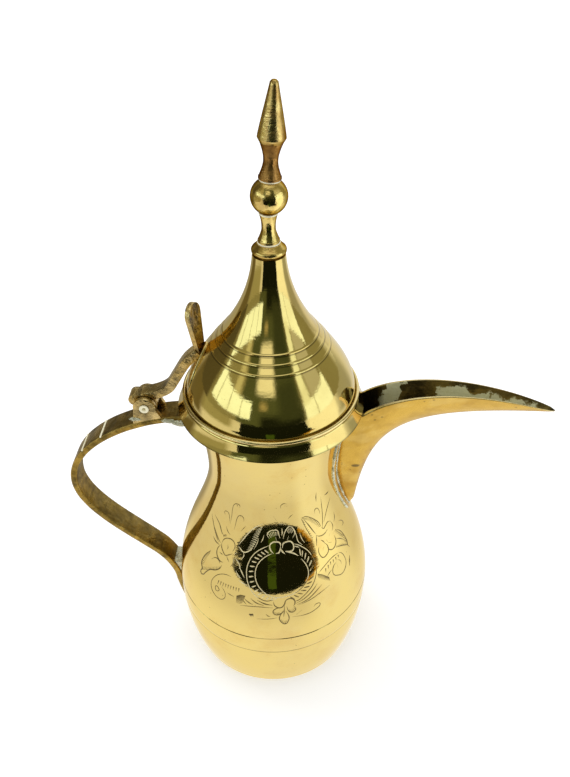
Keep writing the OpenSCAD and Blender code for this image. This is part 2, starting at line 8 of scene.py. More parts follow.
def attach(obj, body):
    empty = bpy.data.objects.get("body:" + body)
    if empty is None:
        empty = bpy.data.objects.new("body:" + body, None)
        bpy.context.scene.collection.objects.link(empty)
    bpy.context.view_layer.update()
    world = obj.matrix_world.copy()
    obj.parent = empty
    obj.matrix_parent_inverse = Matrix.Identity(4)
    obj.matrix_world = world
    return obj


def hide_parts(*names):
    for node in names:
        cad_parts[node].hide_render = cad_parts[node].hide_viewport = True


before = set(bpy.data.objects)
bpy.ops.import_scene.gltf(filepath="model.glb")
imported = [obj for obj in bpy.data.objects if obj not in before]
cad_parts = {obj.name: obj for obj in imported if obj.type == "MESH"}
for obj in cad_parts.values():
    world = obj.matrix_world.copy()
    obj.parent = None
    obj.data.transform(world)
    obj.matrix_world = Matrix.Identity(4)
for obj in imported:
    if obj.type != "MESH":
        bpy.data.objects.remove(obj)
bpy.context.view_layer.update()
scene = bpy.context.scene
mm = 0.001

# the camera's place is set from the pot's axis, in millimetres and degrees
shot = {"reach": 346.8, "turn": 3.0, "down": 38.56, "aimZ": 150, "right": 6.3, "up": 12.84, "lens": 34.61}


def makeCamera(s):
    turn, down = math.radians(s["turn"]), math.radians(s["down"])
    forward = Vector((-math.sin(turn) * math.cos(down), math.cos(turn) * math.cos(down), -math.sin(down)))
    right = Vector((math.cos(turn), math.sin(turn), 0))
    up = right.cross(forward)
    place = Vector((0, 0, s["aimZ"])) - forward * s["reach"] + right * s["right"] + up * s["up"]
    data = bpy.data.cameras.new("camera")
    data.lens = s["lens"]
    data.clip_start = 0.01
    camera = bpy.data.objects.new("camera", data)
    turnMatrix = Matrix((right, up, -forward)).transposed().to_4x4()
    camera.matrix_world = Matrix.Translation(place * mm) @ turnMatrix
    scene.collection.objects.link(camera)
    scene.camera = camera


makeCamera(shot)
print("camera made")

# the spun outlines: (height, radius, slope) stations in millimetres
pot = {
    "line": [(0, 44.49, 0.32), (42, 50.49, 0), (84, 41.8, -0.4), (124, 30.7, 0), (166, 36.5, 0.2)],
    "wall": 1.2, "seamZ": 47, "mouthZ": 166, "scribeZ": 35.5, "scribeDepth": 0.22, "scribeHalf": 0.4,
    "baseEdge": 1.5, "seamGap": 0.1, "seamLip": 0.22, "sides": 192,
}
lid = {
    "line": [(167.3, 37.8, 0), (196, 22.9, -0.8), (234.5, 6.8, -0.08)],
    "wall": 1.0, "flangeZ": 166.3, "skirtR": 42.1, "skirtZ": 160.2, "shoulderR": 39.6, "ledgeR": 34.3,
    "bead": (38.72, 168.22, 0.9), "rings": [192.7, 196.1, 199.4], "ringStep": 0.28, "rodHole": 1.55,
}


def lineAt(stations, z):  # cubic through (height, radius, slope) stations
    i = 0
    while i < len(stations) - 2 and z > stations[i + 1][0]:
        i += 1
    (z0, r0, s0), (z1, r1, s1) = stations[i], stations[i + 1]
    h = z1 - z0
    t = (z - z0) / h
    return ((1 + 2 * t) * (1 - t) ** 2 * r0 + t * (1 - t) ** 2 * h * s0
            + t * t * (3 - 2 * t) * r1 - t * t * (1 - t) * h * s1)


def bodyR(z):
    return lineAt(pot["line"], z)


def domeR(z):
    return lineAt(lid["line"], z)


def ramp(a, b, n):
    return [a + (b - a) * i / n for i in range(n + 1)]


def mixed(a, b, t):
    return a + (b - a) * t


def bezier(p, t):
    k = ((1 - t) ** 3, 3 * t * (1 - t) ** 2, 3 * t * t * (1 - t), t ** 3)
    return tuple(sum(w * q[i] for w, q in zip(k, p)) for i in range(len(p[0])))


def around(radius, angle, z):  # a point by its angle about the pot's axis
    return Vector((radius * math.cos(math.radians(angle)), radius * math.sin(math.radians(angle)), z))


def arc(centre, radius, start, end, n):
    return [(centre[0] + radius * math.cos(math.radians(a)), centre[1] + radius * math.sin(math.radians(a)))
            for a in ramp(start, end, n)]


def meshPiece(bm, name, hardAngle=32):
    for face in bm.faces:
        face.smooth = True
    for edge in bm.edges:
        edge.smooth = not (len(edge.link_faces) == 2 and edge.calc_face_angle(0) > math.radians(hardAngle))
    mesh = bpy.data.meshes.new(name)
    bm.to_mesh(mesh)
    bm.free()
    piece = bpy.data.objects.new(name, mesh)
    scene.collection.objects.link(piece)
    return piece


def softenEdges(bm, width, angle=32, segments=3):
    hard = [e for e in bm.edges if len(e.link_faces) == 2 and e.calc_face_angle(0) > math.radians(angle)]
    bmesh.ops.bevel(bm, geom=hard, offset=width * mm, offset_type="OFFSET", affect="EDGES",
                    segments=segments, profile=0.5, material=-1, clamp_overlap=True)


def spun(name, outline, closed=True, sides=pot["sides"], soften=0.0, place=None):
    bm = bmesh.new()
    verts = [bm.verts.new((r * mm, 0, z * mm)) for r, z in outline]
    edges = [bm.edges.new(pair) for pair in zip(verts, verts[1:] + verts[:1] if closed else verts[1:])]
    bmesh.ops.spin(bm, geom=verts + edges, cent=(0, 0, 0), axis=(0, 0, 1), angle=2 * math.pi,
                   steps=sides, use_merge=True)
    bmesh.ops.remove_doubles(bm, verts=bm.verts, dist=1e-6)
    bmesh.ops.recalc_face_normals(bm, faces=bm.faces)
    if soften:
        softenEdges(bm, soften)
    if place:
        bmesh.ops.transform(bm, matrix=place, verts=bm.verts)
    return meshPiece(bm, name)


def swept(name, sweeps, hardAngle=60):
    # each sweep: a closed outline in two axes, and (centre, first axis, second axis) frames along the way
    bm = bmesh.new()
    for section, frames in sweeps:
        rings = [[(Vector(centre) + Vector(first) * a + Vector(second) * b) * mm for a, b in section]
                 for centre, first, second in frames]
        face = bm.faces.new([bm.verts.new(place) for place in rings[0]])
        for ring in rings[1:]:
            grown = bmesh.ops.extrude_face_region(bm, geom=[face])
            face = next(g for g in grown["geom"] if isinstance(g, bmesh.types.BMFace))
            for vert, place in zip(face.verts, ring):
                vert.co = place
    bmesh.ops.recalc_face_normals(bm, faces=bm.faces)
    return meshPiece(bm, name, hardAngle)


roundSection = [(math.cos(math.pi * i / 4), math.sin(math.pi * i / 4)) for i in range(8)]


def beadAlong(points, outward, radii):  # a round bead that lies on a surface with these outward directions
    frames = []
    for i, point in enumerate(points):
        way = (points[min(i + 1, len(points) - 1)] - points[max(i - 1, 0)]).normalized()
        side = way.cross(outward[i]).normalized()
        frames.append((point, side * radii[i], side.cross(way) * radii[i]))
    return roundSection, frames


def asMesh(thing):  # the mesh that a piece shows once its modifiers or its curve are worked out
    graph = bpy.context.evaluated_depsgraph_get()
    return bpy.data.meshes.new_from_object(thing.evaluated_get(graph))


def applyModifiers(piece):
    mesh = asMesh(piece)
    piece.modifiers.clear()
    piece.data = mesh


def roundedCopy(node, name, width, angle=25, hardAngle=40, rim=None):
    # the solid's own shape with its loose triangles joined and its edges rounded; rim sinks its two broad faces
    bm = bmesh.new()
    bm.from_mesh(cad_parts[node].data)
    bmesh.ops.remove_doubles(bm, verts=bm.verts, dist=2e-6)
    bmesh.ops.dissolve_limit(bm, angle_limit=math.radians(1.5), verts=bm.verts, edges=bm.edges)
    if rim:
        for face in sorted(bm.faces, key=lambda face: -face.calc_area())[:2]:
            bmesh.ops.inset_individual(bm, faces=[face], thickness=rim[0] * mm, depth=-rim[1] * mm)
    softenEdges(bm, width, angle, 2)
    bmesh.ops.triangulate(bm, faces=[f for f in bm.faces if len(f.verts) > 4])
    return meshPiece(bm, name, hardAngle)


def fit(piece, body, slotName, materials, *nodes):
    if not piece.data.materials:
        for material in materials if isinstance(materials, tuple) else (materials,):
            piece.data.materials.append(material)
    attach(piece, body)
    if nodes:
        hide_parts(*nodes)
    return piece


def setSockets(tree, node, sockets):
    for key, value in sockets.items():
        if isinstance(value, bpy.types.NodeSocket):
            tree.links.new(value, node.inputs[key])
        else:
            node.inputs[key].default_value = value
    return node.outputs


def addNode(tree, kind, sockets, **settings):
    node = tree.nodes.new("ShaderNode" + kind)
    for key, value in settings.items():
        setattr(node, key, value)
    return setSockets(tree, node, sockets)


def maths(tree, operation, *values):
    return addNode(tree, "Math", dict(enumerate(values)), operation=operation)[0]


def vectors(tree, operation, *values):
    return addNode(tree, "VectorMath", dict(enumerate(values)), operation=operation)[int(operation == "LENGTH")]


def coordinate(tree, kind="Object"):
    return addNode(tree, "TexCoord", {})[kind]


def axes(tree, vector):
    return addNode(tree, "SeparateXYZ", {0: vector})


def cloud(tree, place, scale, detail, rough=0.5):
    sockets = {"Vector": place, "Scale": scale, "Detail": detail, "Roughness": rough}
    return addNode(tree, "TexNoise", sockets)["Fac"]


def ranged(tree, value, low, high, way="LINEAR"):  # 0 at low, 1 at high
    sockets = {"Value": value, "From Min": low, "From Max": high}
    return addNode(tree, "MapRange", sockets, interpolation_type=way)["Result"]


def makeGroup(name, inputs, outputs, fill):
    tree = bpy.data.node_groups.new(name, "ShaderNodeTree")
    for label, value in inputs.items():
        tree.interface.new_socket(label, in_out="INPUT", socket_type="NodeSocketFloat").default_value = value
    for label in outputs:
        tree.interface.new_socket(label, in_out="OUTPUT", socket_type="NodeSocketFloat")
    values = fill(tree, *list(tree.nodes.new("NodeGroupInput").outputs)[:len(inputs)])
    setSockets(tree, tree.nodes.new("NodeGroupOutput"), dict(zip(outputs, values)))
    return tree


def patina(tree, scale, low, high):  # cloudy stains, broken up by finer ones
    return [ranged(tree, cloud(tree, coordinate(tree), scale, 6.0, 0.62), low, high, "SMOOTHSTEP")]


def brush(tree, scale, x, y, z):  # fine lines of turning or filing, drawn out along the axes with small scales
    stretch = addNode(tree, "CombineXYZ", {"X": x, "Y": y, "Z": z})[0]
    return [cloud(tree, vectors(tree, "MULTIPLY", coordinate(tree), stretch), scale, 3.0)]


def pits(tree, scale, size, share):  # small pits and specks, thinned out by a slower pattern
    place = coordinate(tree)
    cells = addNode(tree, "TexVoronoi", {"Vector": place, "Scale": scale})["Distance"]
    spot = maths(tree, "LESS_THAN", cells, size)
    return [maths(tree, "MULTIPLY", spot, maths(tree, "GREATER_THAN", cloud(tree, place, 55.0, 2.0), share))]


def wearAndShade(tree, edgeFrom, edgeTo, corner):  # rubbed edges, partly painted highlights, and painted shade in the corners
    sharp = addNode(tree, "NewGeometry", {})["Pointiness"]
    ragged, middle, deep = 0.05, 0.025, 0.38
    shift = maths(tree, "MULTIPLY_ADD", cloud(tree, coordinate(tree), 180.0, 4.0), ragged, sharp)
    return [ranged(tree, maths(tree, "SUBTRACT", shift, middle), edgeFrom, edgeTo),
            ranged(tree, shift, corner, deep)]


def band(tree, height, half):  # a dark line round the piece at one height, in millimetres: a dark joint, or painted shade under a lip or ring
    z = maths(tree, "MULTIPLY", axes(tree, coordinate(tree))["Z"], 1000.0)
    return [ranged(tree, maths(tree, "ABSOLUTE", maths(tree, "SUBTRACT", z, height)), half, 0.0)]


def patch(tree, turn, rise, first, last, low, high, softTurn, softRise):
    # a soft-edged patch between two turns about the pot and two heights or distances
    sides = []
    for value, edges, soft in ((turn, (first, last), softTurn), (rise, (low, high), softRise)):
        for edge, way in zip(edges, (1, -1)):
            off = maths(tree, "DIVIDE", maths(tree, "SUBTRACT", value, edge), soft)
            sides.append(ranged(tree, off, -way, way, "SMOOTHSTEP"))
    return [maths(tree, "MULTIPLY", maths(tree, "MULTIPLY", *sides[:2]), maths(tree, "MULTIPLY", *sides[2:]))]


groups = {
    fill.__name__: makeGroup(fill.__name__, inputs, outputs, fill) for fill, inputs, outputs in (
        (patina, {"Scale": 40, "From": 0.45, "To": 0.7}, ["Mask"]),
        (brush, {"Scale": 800, "X": 0.1, "Y": 0.1, "Z": 1}, ["Height"]),
        (pits, {"Scale": 260, "Size": 0.16, "Share": 0.55}, ["Mask"]),
        (wearAndShade, {"Edge From": 0.515, "Edge To": 0.575, "Corner": 0.468}, ["Edge", "Corner"]),
        (band, {"Height": 0, "Half": 0.4}, ["Mask"]),
        (patch, {"Turn": 0, "Rise": 0, "From": 0, "To": 1, "Low": 0, "High": 1, "Soft Turn": 1, "Soft Rise": 1},
         ["Mask"]),
    )
}


def useGroup(tree, kind, *values):
    return addNode(tree, "Group", dict(enumerate(values)), node_tree=groups[kind])


def paintOver(tree, below, colour, mask, most):
    return addNode(tree, "Mix", {"A": below, "B": (*colour, 1), "Factor": maths(tree, "MULTIPLY", mask, most)},
                   data_type="RGBA")["Result"]


def nodeTree(name):
    material = bpy.data.materials.new(name)
    material.use_nodes = True
    tree = material.node_tree
    return material, tree, tree.nodes["Principled BSDF"]


def crustMask(tree, places):  # deposits up to a height that changes along x, with ragged edges
    spanX, spanZ, sway, ragged, edge = 7.5, 5, 0.006, 0.004, (0.002, 0.0026)
    place = axes(tree, coordinate(tree))
    rough, slow = (useGroup(tree, "patina", scale, 0.3, 0.7)["Mask"] for scale in (150, 110))
    x = maths(tree, "ADD", place["X"], maths(tree, "MULTIPLY_ADD", slow, sway, -sway / 2))
    where = tree.nodes.new("ShaderNodeFloatCurve")
    setSockets(tree, where, {"Value": maths(tree, "MULTIPLY", x, spanX)})
    line = where.mapping.curves[0]
    line.points[0].location, line.points[1].location = (0, 0.5), (1, 0.75)
    for far, top in places:
        line.points.new(far * spanX, top * spanZ)
    for point in line.points:
        point.handle_type = "VECTOR"
    where.mapping.update()
    top = maths(tree, "MULTIPLY_ADD", where.outputs["Value"], 1 / spanZ, maths(tree, "MULTIPLY", rough, ragged))
    return ranged(tree, maths(tree, "SUBTRACT", top, place["Z"]), *edge)


def spotMask(tree, place, size):  # one round patch: place and half sizes in metres
    off = vectors(tree, "DIVIDE", vectors(tree, "SUBTRACT", coordinate(tree), place), size)
    return ranged(tree, vectors(tree, "LENGTH", off), 1.1, 0.7)


# what a metal has unless it says otherwise: tones, then scales, limits and how much they show
plainMetal = {
    "tint": None, "streak": None, "upper": None, "crust": None, "pits": None, "dirtMost": 0, "edge": None,
    "bands": [], "spot": None, "turned": None, "pit": (0.16, 0.11, 0.04), "pitRough": 0.1,
    "dirt": (0.07, 0.05, 0.02), "brush": (900, 0.12, 0.12, 1.0, 0.03), "dent": (26, 0.1), "metallic": 1.0,
    "glance": (1, 1, 1), "solid": 0.85, "streakSoft": 0.16, "turnedFrom": (0.45, 0.95),
    "bumps": (0.002, 0.0004),
}


def metal(name, base, dark, stain, rough, **look):
    f = {**plainMetal, **look}
    material, tree, shader = nodeTree(name)
    clouds = useGroup(tree, "patina", *stain[:3])["Mask"]
    layers = [(dark, clouds, stain[3])]
    gloss = maths(tree, "MULTIPLY_ADD", clouds, rough[1], rough[0])
    metallic = f["metallic"]
    if f["tint"]:
        tone, *spread, most = f["tint"]
        layers.append((tone, useGroup(tree, "patina", *spread)["Mask"], most))
    if f["streak"]:  # long marks drawn along the metal
        tone, spread, most, low = f["streak"]
        drawn = useGroup(tree, "brush", *spread)["Height"]
        layers.append((tone, ranged(tree, drawn, low, low + f["streakSoft"]), most))
    if f["upper"]:  # painted shade: another tone, darker where used, on faces which look up
        tone, most, low, high = f["upper"]
        layers.append((tone, ranged(tree, axes(tree, coordinate(tree, "Normal"))["Z"], low, high), most))
    if f["crust"]:
        tone, places = f["crust"]
        mask = crustMask(tree, places)
        layers.append((tone, mask, f["solid"]))
        metallic = maths(tree, "SUBTRACT", 1.0, maths(tree, "MULTIPLY", mask, f["solid"]))
    if f["pits"]:
        *spread, most = f["pits"]
        mask = useGroup(tree, "pits", *spread)["Mask"]
        layers.append((f["pit"], mask, most))
        gloss = maths(tree, "MULTIPLY_ADD", mask, f["pitRough"], gloss)
    edgesAndCreases = useGroup(tree, "wearAndShade") if f["edge"] or f["dirtMost"] else None
    # painted shade in the corners and creases
    if f["dirtMost"]:
        layers.append((f["dirt"], edgesAndCreases["Corner"], f["dirtMost"]))
    # rubbed edges; on the cast hinge parts these are also painted highlights
    if f["edge"]:
        tone, most = f["edge"]
        layers.append((tone, edgesAndCreases["Edge"], most))
        gloss = maths(tree, "SUBTRACT", gloss, maths(tree, "MULTIPLY", edgesAndCreases["Edge"], 0.5 * rough[0]))
    # dark lines round the piece: dark joints on the body, painted shade on the lid and finial
    for height, half, most in f["bands"]:
        layers.append((f["dirt"], useGroup(tree, "band", height, half)["Mask"], most))
    # a dark patch; in the spout's trough it is painted shade at the root
    if f["spot"]:
        layers.append((f["pit"], spotMask(tree, *f["spot"]), f["solid"]))
    if f["turned"]:  # painted shade: darker where the surface turns away from the view
        tone, most = f["turned"]
        away = addNode(tree, "LayerWeight", {"Blend": 0.5})["Facing"]
        layers.append((tone, ranged(tree, away, *f["turnedFrom"]), most))
    colour = (*base, 1)
    for layer in layers:
        colour = paintOver(tree, colour, *layer)
    *spread, lineDepth = f["brush"]
    scale, dentDepth = f["dent"]
    dents = addNode(tree, "Bump", {"Height": useGroup(tree, "patina", scale, 0.2, 0.8)["Mask"],
                                   "Strength": dentDepth, "Distance": f["bumps"][0]})["Normal"]
    lines = addNode(tree, "Bump", {"Height": useGroup(tree, "brush", *spread)["Height"], "Strength": lineDepth,
                                   "Distance": f["bumps"][1], "Normal": dents})["Normal"]
    setSockets(tree, shader, {"Base Color": colour, "Roughness": gloss, "Metallic": metallic, "Normal": lines,
                              "Specular Tint": (*f["glance"], 1)})
    return material


# name, base, stain's tone, stain (scale, from, to, most), roughness and what the stain adds to it
polished = metal(
    "polishedBrass", (0.87, 0.675, 0.24), (0.74, 0.47, 0.12), (34, 0.48, 0.7, 0.6), (0.05, 0.05),
    tint=((0.78, 0.62, 0.28), 16, 0.4, 0.65, 0.5), glance=(0.97, 0.9, 0.72), pits=(300, 0.1, 0.58, 0.45),
    brush=(900, 0.12, 0.12, 1, 0.02), dent=(26, 0.03), dirt=(0.28, 0.19, 0.06),
    bands=[(47, 0.45, 0.85), (35.5, 0.35, 0.5)])
# the bands are painted shade under the skirt's lower edge and under each raised ring, and a dark line just above
# the bead
lidBrass = metal(
    "lidBrass", (0.86, 0.69, 0.25), (0.62, 0.43, 0.13), (40, 0.45, 0.72, 0.45), (0.06, 0.06),
    tint=((0.72, 0.55, 0.2), 16, 0.4, 0.65, 0.5), pits=(520, 0.09, 0.58, 0.4), pitRough=0.04,
    brush=(1500, 0.08, 0.08, 1, 0.03), dent=(26, 0.04), dirt=(0.035, 0.026, 0.01),
    bands=[(169.3, 0.8, 1.0), (160.3, 0.9, 0.9)] + [(z, 0.35, 0.7) for z in (192.0, 195.4, 198.7)])
spoutBrass = metal(
    "spoutBrass", (0.74, 0.46, 0.08), (0.46, 0.27, 0.05), (60, 0.4, 0.7, 0.5), (0.25, 0.12),
    tint=((0.60, 0.32, 0.06), 30, 0.5, 0.7, 0.55), brush=(700, 0.3, 1, 0.3, 0.4), pits=(260, 0.16, 0.55, 0.4),
    streak=((0.82, 0.57, 0.16), (260, 0.25, 1, 0.5), 0.5, 0.5),
    spot=((0.0403, -0.0052, 0.1252), (0.0022, 0.003, 0.0011)))
# the spot at the root is painted shade, in the near-black tone given for pits and spots
spoutTrough = metal(
    "spoutTrough", (0.27, 0.195, 0.06), (0.04, 0.03, 0.014), (90, 0.42, 0.62, 0.8), (0.4, 0.2),
    brush=(420, 0.15, 1, 1, 0.3), dent=(120, 0.3), streak=((0.44, 0.29, 0.08), (380, 0.12, 1, 1), 0.65, 0.5),
    pit=(0.008, 0.007, 0.005), spot=((0.043, 0.003, 0.158), (0.0083, 0.02, 0.02)),
    crust=((0.62, 0.61, 0.36), [
        (0.0495, 0.12), (0.0505, 0.18), (0.0585, 0.18), (0.0605, 0.12), (0.071, 0.12), (0.074, 0.167),
        (0.083, 0.1672), (0.094, 0.1655), (0.112, 0.1625), (0.124, 0.159)]))
rimBrass = metal("rimBrass", (0.93, 0.76, 0.36), (0.72, 0.50, 0.16), (40, 0.45, 0.72, 0.3), (0.16, 0.1))
# the upper tone is painted shade on faces that look up; the edge tone is rubbed wear
aged = metal(
    "agedBronze", (0.34, 0.222, 0.043), (0.11, 0.075, 0.02), (190, 0.36, 0.62, 0.6), (0.26, 0.14),
    tint=((0.56, 0.35, 0.06), 60, 0.40, 0.62, 0.6), edge=((0.90, 0.62, 0.18), 1.0), pits=(520, 0.2, 0.5, 0.5),
    brush=(900, 1, 0.2, 1, 0.4), dent=(90, 0.25), streak=((0.12, 0.08, 0.02), (420, 1, 0.25, 1), 0.5, 0.5),
    upper=((0.15, 0.115, 0.04), 0.6, 0.2, 0.7))
# the upper tone is painted shade on faces that look up, the corner tone is painted shade in the creases, and the
# edge tone is rubbed wear with painted highlights
cast = metal(
    "castBronze", (0.47, 0.315, 0.08), (0.03, 0.022, 0.009), (105, 0.42, 0.56, 0.9), (0.11, 0.15),
    tint=((0.66, 0.38, 0.07), 75, 0.5, 0.62, 0.5), upper=((0.15, 0.12, 0.055), 0.65, 0.28, 0.7),
    edge=((0.98, 0.74, 0.32), 1.0), pits=(480, 0.2, 0.46, 0.8), brush=(900, 0.12, 0.12, 1, 0.08),
    dent=(120, 0.35), dirtMost=1.0, dirt=(0.02, 0.016, 0.01))
tin = metal("tinSolder", (0.80, 0.80, 0.62), (0.36, 0.35, 0.22), (160, 0.44, 0.68, 0.7), (0.2, 0.2),
            pits=(700, 0.2, 0.5, 0.4), dent=(260, 0.5))
pale = metal("palePinMetal", (0.97, 0.92, 0.66), (0.62, 0.52, 0.28), (220, 0.5, 0.72, 0.4), (0.3, 0.15),
             metallic=0.25)
# painted shade: the turned tone darkens the finial where its surface turns away from the view
bronzeTurn = {"turned": ((0.16, 0.09, 0.02), 0.85), "glance": (0.3, 0.18, 0.05)}
# the band is painted shade at the cap's foot
finialBrass = metal(
    "finialBrass", (0.98, 0.75, 0.26), (0.42, 0.26, 0.05), (150, 0.42, 0.64, 0.5), (0.08, 0.12),
    brush=(1400, 0.1, 0.1, 1, 0.1), pits=(600, 0.18, 0.5, 0.5), dent=(110, 0.12), dirt=(0.05, 0.03, 0.01),
    streak=((0.46, 0.24, 0.06), (300, 1, 1, 0.2), 0.4, 0.52), bands=[(234.6, 0.7, 0.9)], **bronzeTurn)
spikeBrass = metal(
    "spikeBrass", (1.0, 0.78, 0.30), (0.52, 0.29, 0.07), (170, 0.44, 0.62, 0.6), (0.19, 0.12),
    brush=(1200, 0.1, 0.1, 1, 0.3), pits=(700, 0.2, 0.48, 0.2), dent=(110, 0.15),
    streak=((0.46, 0.22, 0.05), (300, 1, 1, 0.2), 0.6, 0.48), **bronzeTurn)
# the turned tone is painted shade where the surface turns away from the view
coppery = metal(
    "copperyBrass", (0.52, 0.28, 0.08), (0.24, 0.12, 0.03), (140, 0.4, 0.62, 0.75), (0.26, 0.15),
    brush=(1400, 0.1, 0.1, 1, 0.2), dent=(150, 0.3), turned=((0.12, 0.06, 0.015), 0.85), glance=(0.2, 0.1, 0.03))
evenCut = {"brush": (900, 0.12, 0.12, 1, 0), "dent": (26, 0)}
# cutLine is the pale tone for the cuts painted as lit over the dark reflected patch; cutLineDark is the cuts' dark
# tone elsewhere
cutBrass = metal("cutLine", (0.80, 0.70, 0.40), (0.52, 0.42, 0.2), (40, 0.45, 0.72, 0.3), (0.3, 0.05),
                 metallic=0.35, **evenCut)
cutDark = metal("cutLineDark", (0.17, 0.12, 0.03), (0.40, 0.29, 0.09), (180, 0.46, 0.62, 0.7), (0.3, 0.05),
                metallic=0.4, **evenCut)
print("materials made")


def lowerBowl(p):
    edge, lip, scribe, half, wall = p["baseEdge"], p["seamLip"], p["scribeZ"], p["scribeHalf"], p["wall"]
    seam = p["seamZ"] - p["seamGap"]
    outer = arc((bodyR(edge) - edge, edge), edge, -90, 0, 6)
    outer += [(bodyR(z), z) for z in ramp(edge, scribe - half, 24)[1:]]
    outer += [(bodyR(scribe) - p["scribeDepth"], scribe), (bodyR(scribe + half), scribe + half)]
    outer += [(bodyR(z), z) for z in ramp(scribe + half, seam - lip, 8)[1:]]
    inner = [(bodyR(z) - wall, z) for z in ramp(seam, edge + wall, 20)]
    outline = [(0, 0)] + outer + [(bodyR(seam) - lip, seam)] + inner
    piece = spun("bowl", outline + [(bodyR(edge) - wall - edge, wall), (0, wall)])
    fit(piece, "pot", "polished_body", polished, "lower_bowl")


def upperBody(p):
    seam, lip, mouth = p["seamZ"] + p["seamGap"], p["seamLip"], p["mouthZ"]
    outline = [(bodyR(seam) - lip, seam)] + [(bodyR(z), z) for z in ramp(seam + lip, mouth, 90)]
    piece = spun("body", outline + [(bodyR(z) - p["wall"], z) for z in ramp(mouth, seam, 60)])
    return fit(piece, "pot", "polished_body", polished, "upper_body")


lowerBowl(pot)
bodyPiece = upperBody(pot)
print("body made")


def lidDome(p):
    low, high, wall, step, hole = p["line"][0][0] + 0.02, p["line"][-1][0], p["wall"], p["ringStep"], p["rodHole"]
    raised = ((-2, 0), (-1.4, 0), (-1, 0.12), (0, 0.24), (1, 0.12), (1.4, 0), (2, 0))
    outer = [(domeR(z), z) for z in ramp(low, high, 90) if all(abs(z - r) > 0.6 for r in p["rings"])]
    outer += [(domeR(ring + k * step) + rise, ring + k * step) for ring in p["rings"] for k, rise in raised]
    outer.sort(key=lambda place: place[1])
    inner = [(domeR(z) - 1.1 * wall, z) for z in ramp(high - wall, low, 50)]
    piece = spun("dome", outer + [(hole, high), (hole, high - wall)] + inner)
    fit(piece, "lid", "polished_lid", lidBrass, "lid_dome")


def lidSkirt(p):
    wide, shoulder, ledge, wall = p["skirtR"], p["shoulderR"], p["ledgeR"], p["wall"]
    z0, z1, foot, hollow, top = p["skirtZ"], p["flangeZ"] + wall, 0.3, 0.25, 0.35
    outer = [(wide - 1.0, z0), (wide - hollow, z0), (wide, z0 + foot)]
    outer += [(mixed(wide, shoulder, t) - hollow * math.sin(math.pi * t), mixed(z0 + foot, z1 - top, t))
              for t in ramp(0, 1, 10)[1:]]
    outer += [(shoulder - top, z1), (ledge, z1), (ledge, z1 - wall), (shoulder - 1.1, z1 - wall)]
    fit(spun("skirt", outer), "lid", "polished_lid", lidBrass, "lid_skirt")


def lidBead(p):
    radius, z, thick = p["bead"]
    fit(spun("bead", arc((radius, z), thick, 0, 330, 11)), "lid", "polished_lid", rimBrass, "lid_bead")


lidDome(lid)
lidSkirt(lid)
lidBead(lid)
print("lid made")

# spools are (foot, height, collar's radius, end's radius), washers (foot, radius)
finial = {
    "capZ": 234.5, "capH": 4.8, "capFoot": 6.2, "capRound": (5.6, 1.92, 1.5), "capTop": 4.9,
    "lowWasher": (239.3, 4.6), "lowSpool": (240.0, 11.4, 4.4, 3.7), "midWasher": (251.4, 3.8),
    "ballZ": 252.307, "ballR": 7.25, "ballFlat": 3.7, "topWasher": (264.777, 4.2),
    "topSpool": (265.477, 13.6, 4.45, 4.45), "washer": 0.7, "collar": 0.8, "waist": 2.8,
    "spikeZ": 279.077, "spikeH": 21.4, "spikeR": 5.4, "tipR": 1.35, "lean": 3.2, "sides": 96,
}


def makeFinial(f):
    foot = Matrix.Translation((0, 0, f["ballZ"] * mm))
    lean = foot @ Matrix.Rotation(math.radians(f["lean"]), 4, "Y") @ foot.inverted()
    half = math.sqrt(f["ballR"] ** 2 - f["ballFlat"] ** 2)

    def turned(name, base, outline, node, material=finialBrass, slotName="finial_brass", soften=0.15, place=None):
        piece = spun(name, [(r, base + h) for r, h in outline], False, f["sides"], soften, place)
        fit(piece, "lid", slotName, material, node)

    def spool(name, values, *rest, place=None):
        base, height, wide, end = values
        collar = f["collar"]
        line = [(collar, wide - 0.15, -0.35), (height / 2, f["waist"], 0), (height, end, 0.4)]
        outline = [(0, 0), (wide, 0), (wide, collar)] + [(lineAt(line, h), h) for h in ramp(collar, height, 28)]
        turned(name, base, outline + [(0, height)], *rest, place=place)

    def washer(name, values, node, place=None):
        base, wide = values
        thick = f["washer"]
        turned(name, base, [(0, 0), (wide, 0), (wide, thick), (0, thick)], node, pale, "pin_metal", 0.25, place)

    centre, high, bend = f["capRound"]
    cap = [(0, 0), (f["capFoot"], 0)] + arc((centre, high), bend, -60, 65, 9)
    turned("cap", f["capZ"], cap + [(f["capTop"], f["capH"]), (0, f["capH"])], "finial_cap")
    washer("washerLow", f["lowWasher"], "washer_low")
    spool("spoolLow", f["lowSpool"], "spool_low")
    washer("washerMid", f["midWasher"], "washer_mid")
    edge = math.degrees(math.acos(f["ballFlat"] / f["ballR"]))
    ball = [(0, 0)] + arc((0, half), f["ballR"], -edge, edge, 32) + [(0, 2 * half)]
    turned("ball", f["ballZ"], ball, "finial_ball", soften=0.1, place=lean)
    washer("washerTop", f["topWasher"], "washer_top", lean)
    spool("spoolTop", f["topSpool"], "spool_top", coppery, "copper_spool", place=lean)
    tall, wide, tip = f["spikeH"], f["spikeR"], f["tipR"]
    rise = 0.08 * tall
    side = [(wide - 0.15, rise + 1), (wide - 1.2, 0.4 * tall), (tip + 1.1, 0.75 * tall), (tip + 0.2, tall - 0.7)]
    spike = [(0, 0), (f["topSpool"][3], 0), (wide, rise), (wide - 0.1, rise + 0.5)]
    spike += [bezier(side, t) for t in ramp(0, 1, 20)] + [(0.7 * tip, tall), (0, tall)]
    turned("spike", f["spikeZ"], spike, "finial_spike", spikeBrass, soften=0.12, place=lean)


makeFinial(finial)
for hidden in ("finial_rod", "finial_nut"):
    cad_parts[hidden].data.materials.clear()
    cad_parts[hidden].data.materials.append(finialBrass)
print("finial made")

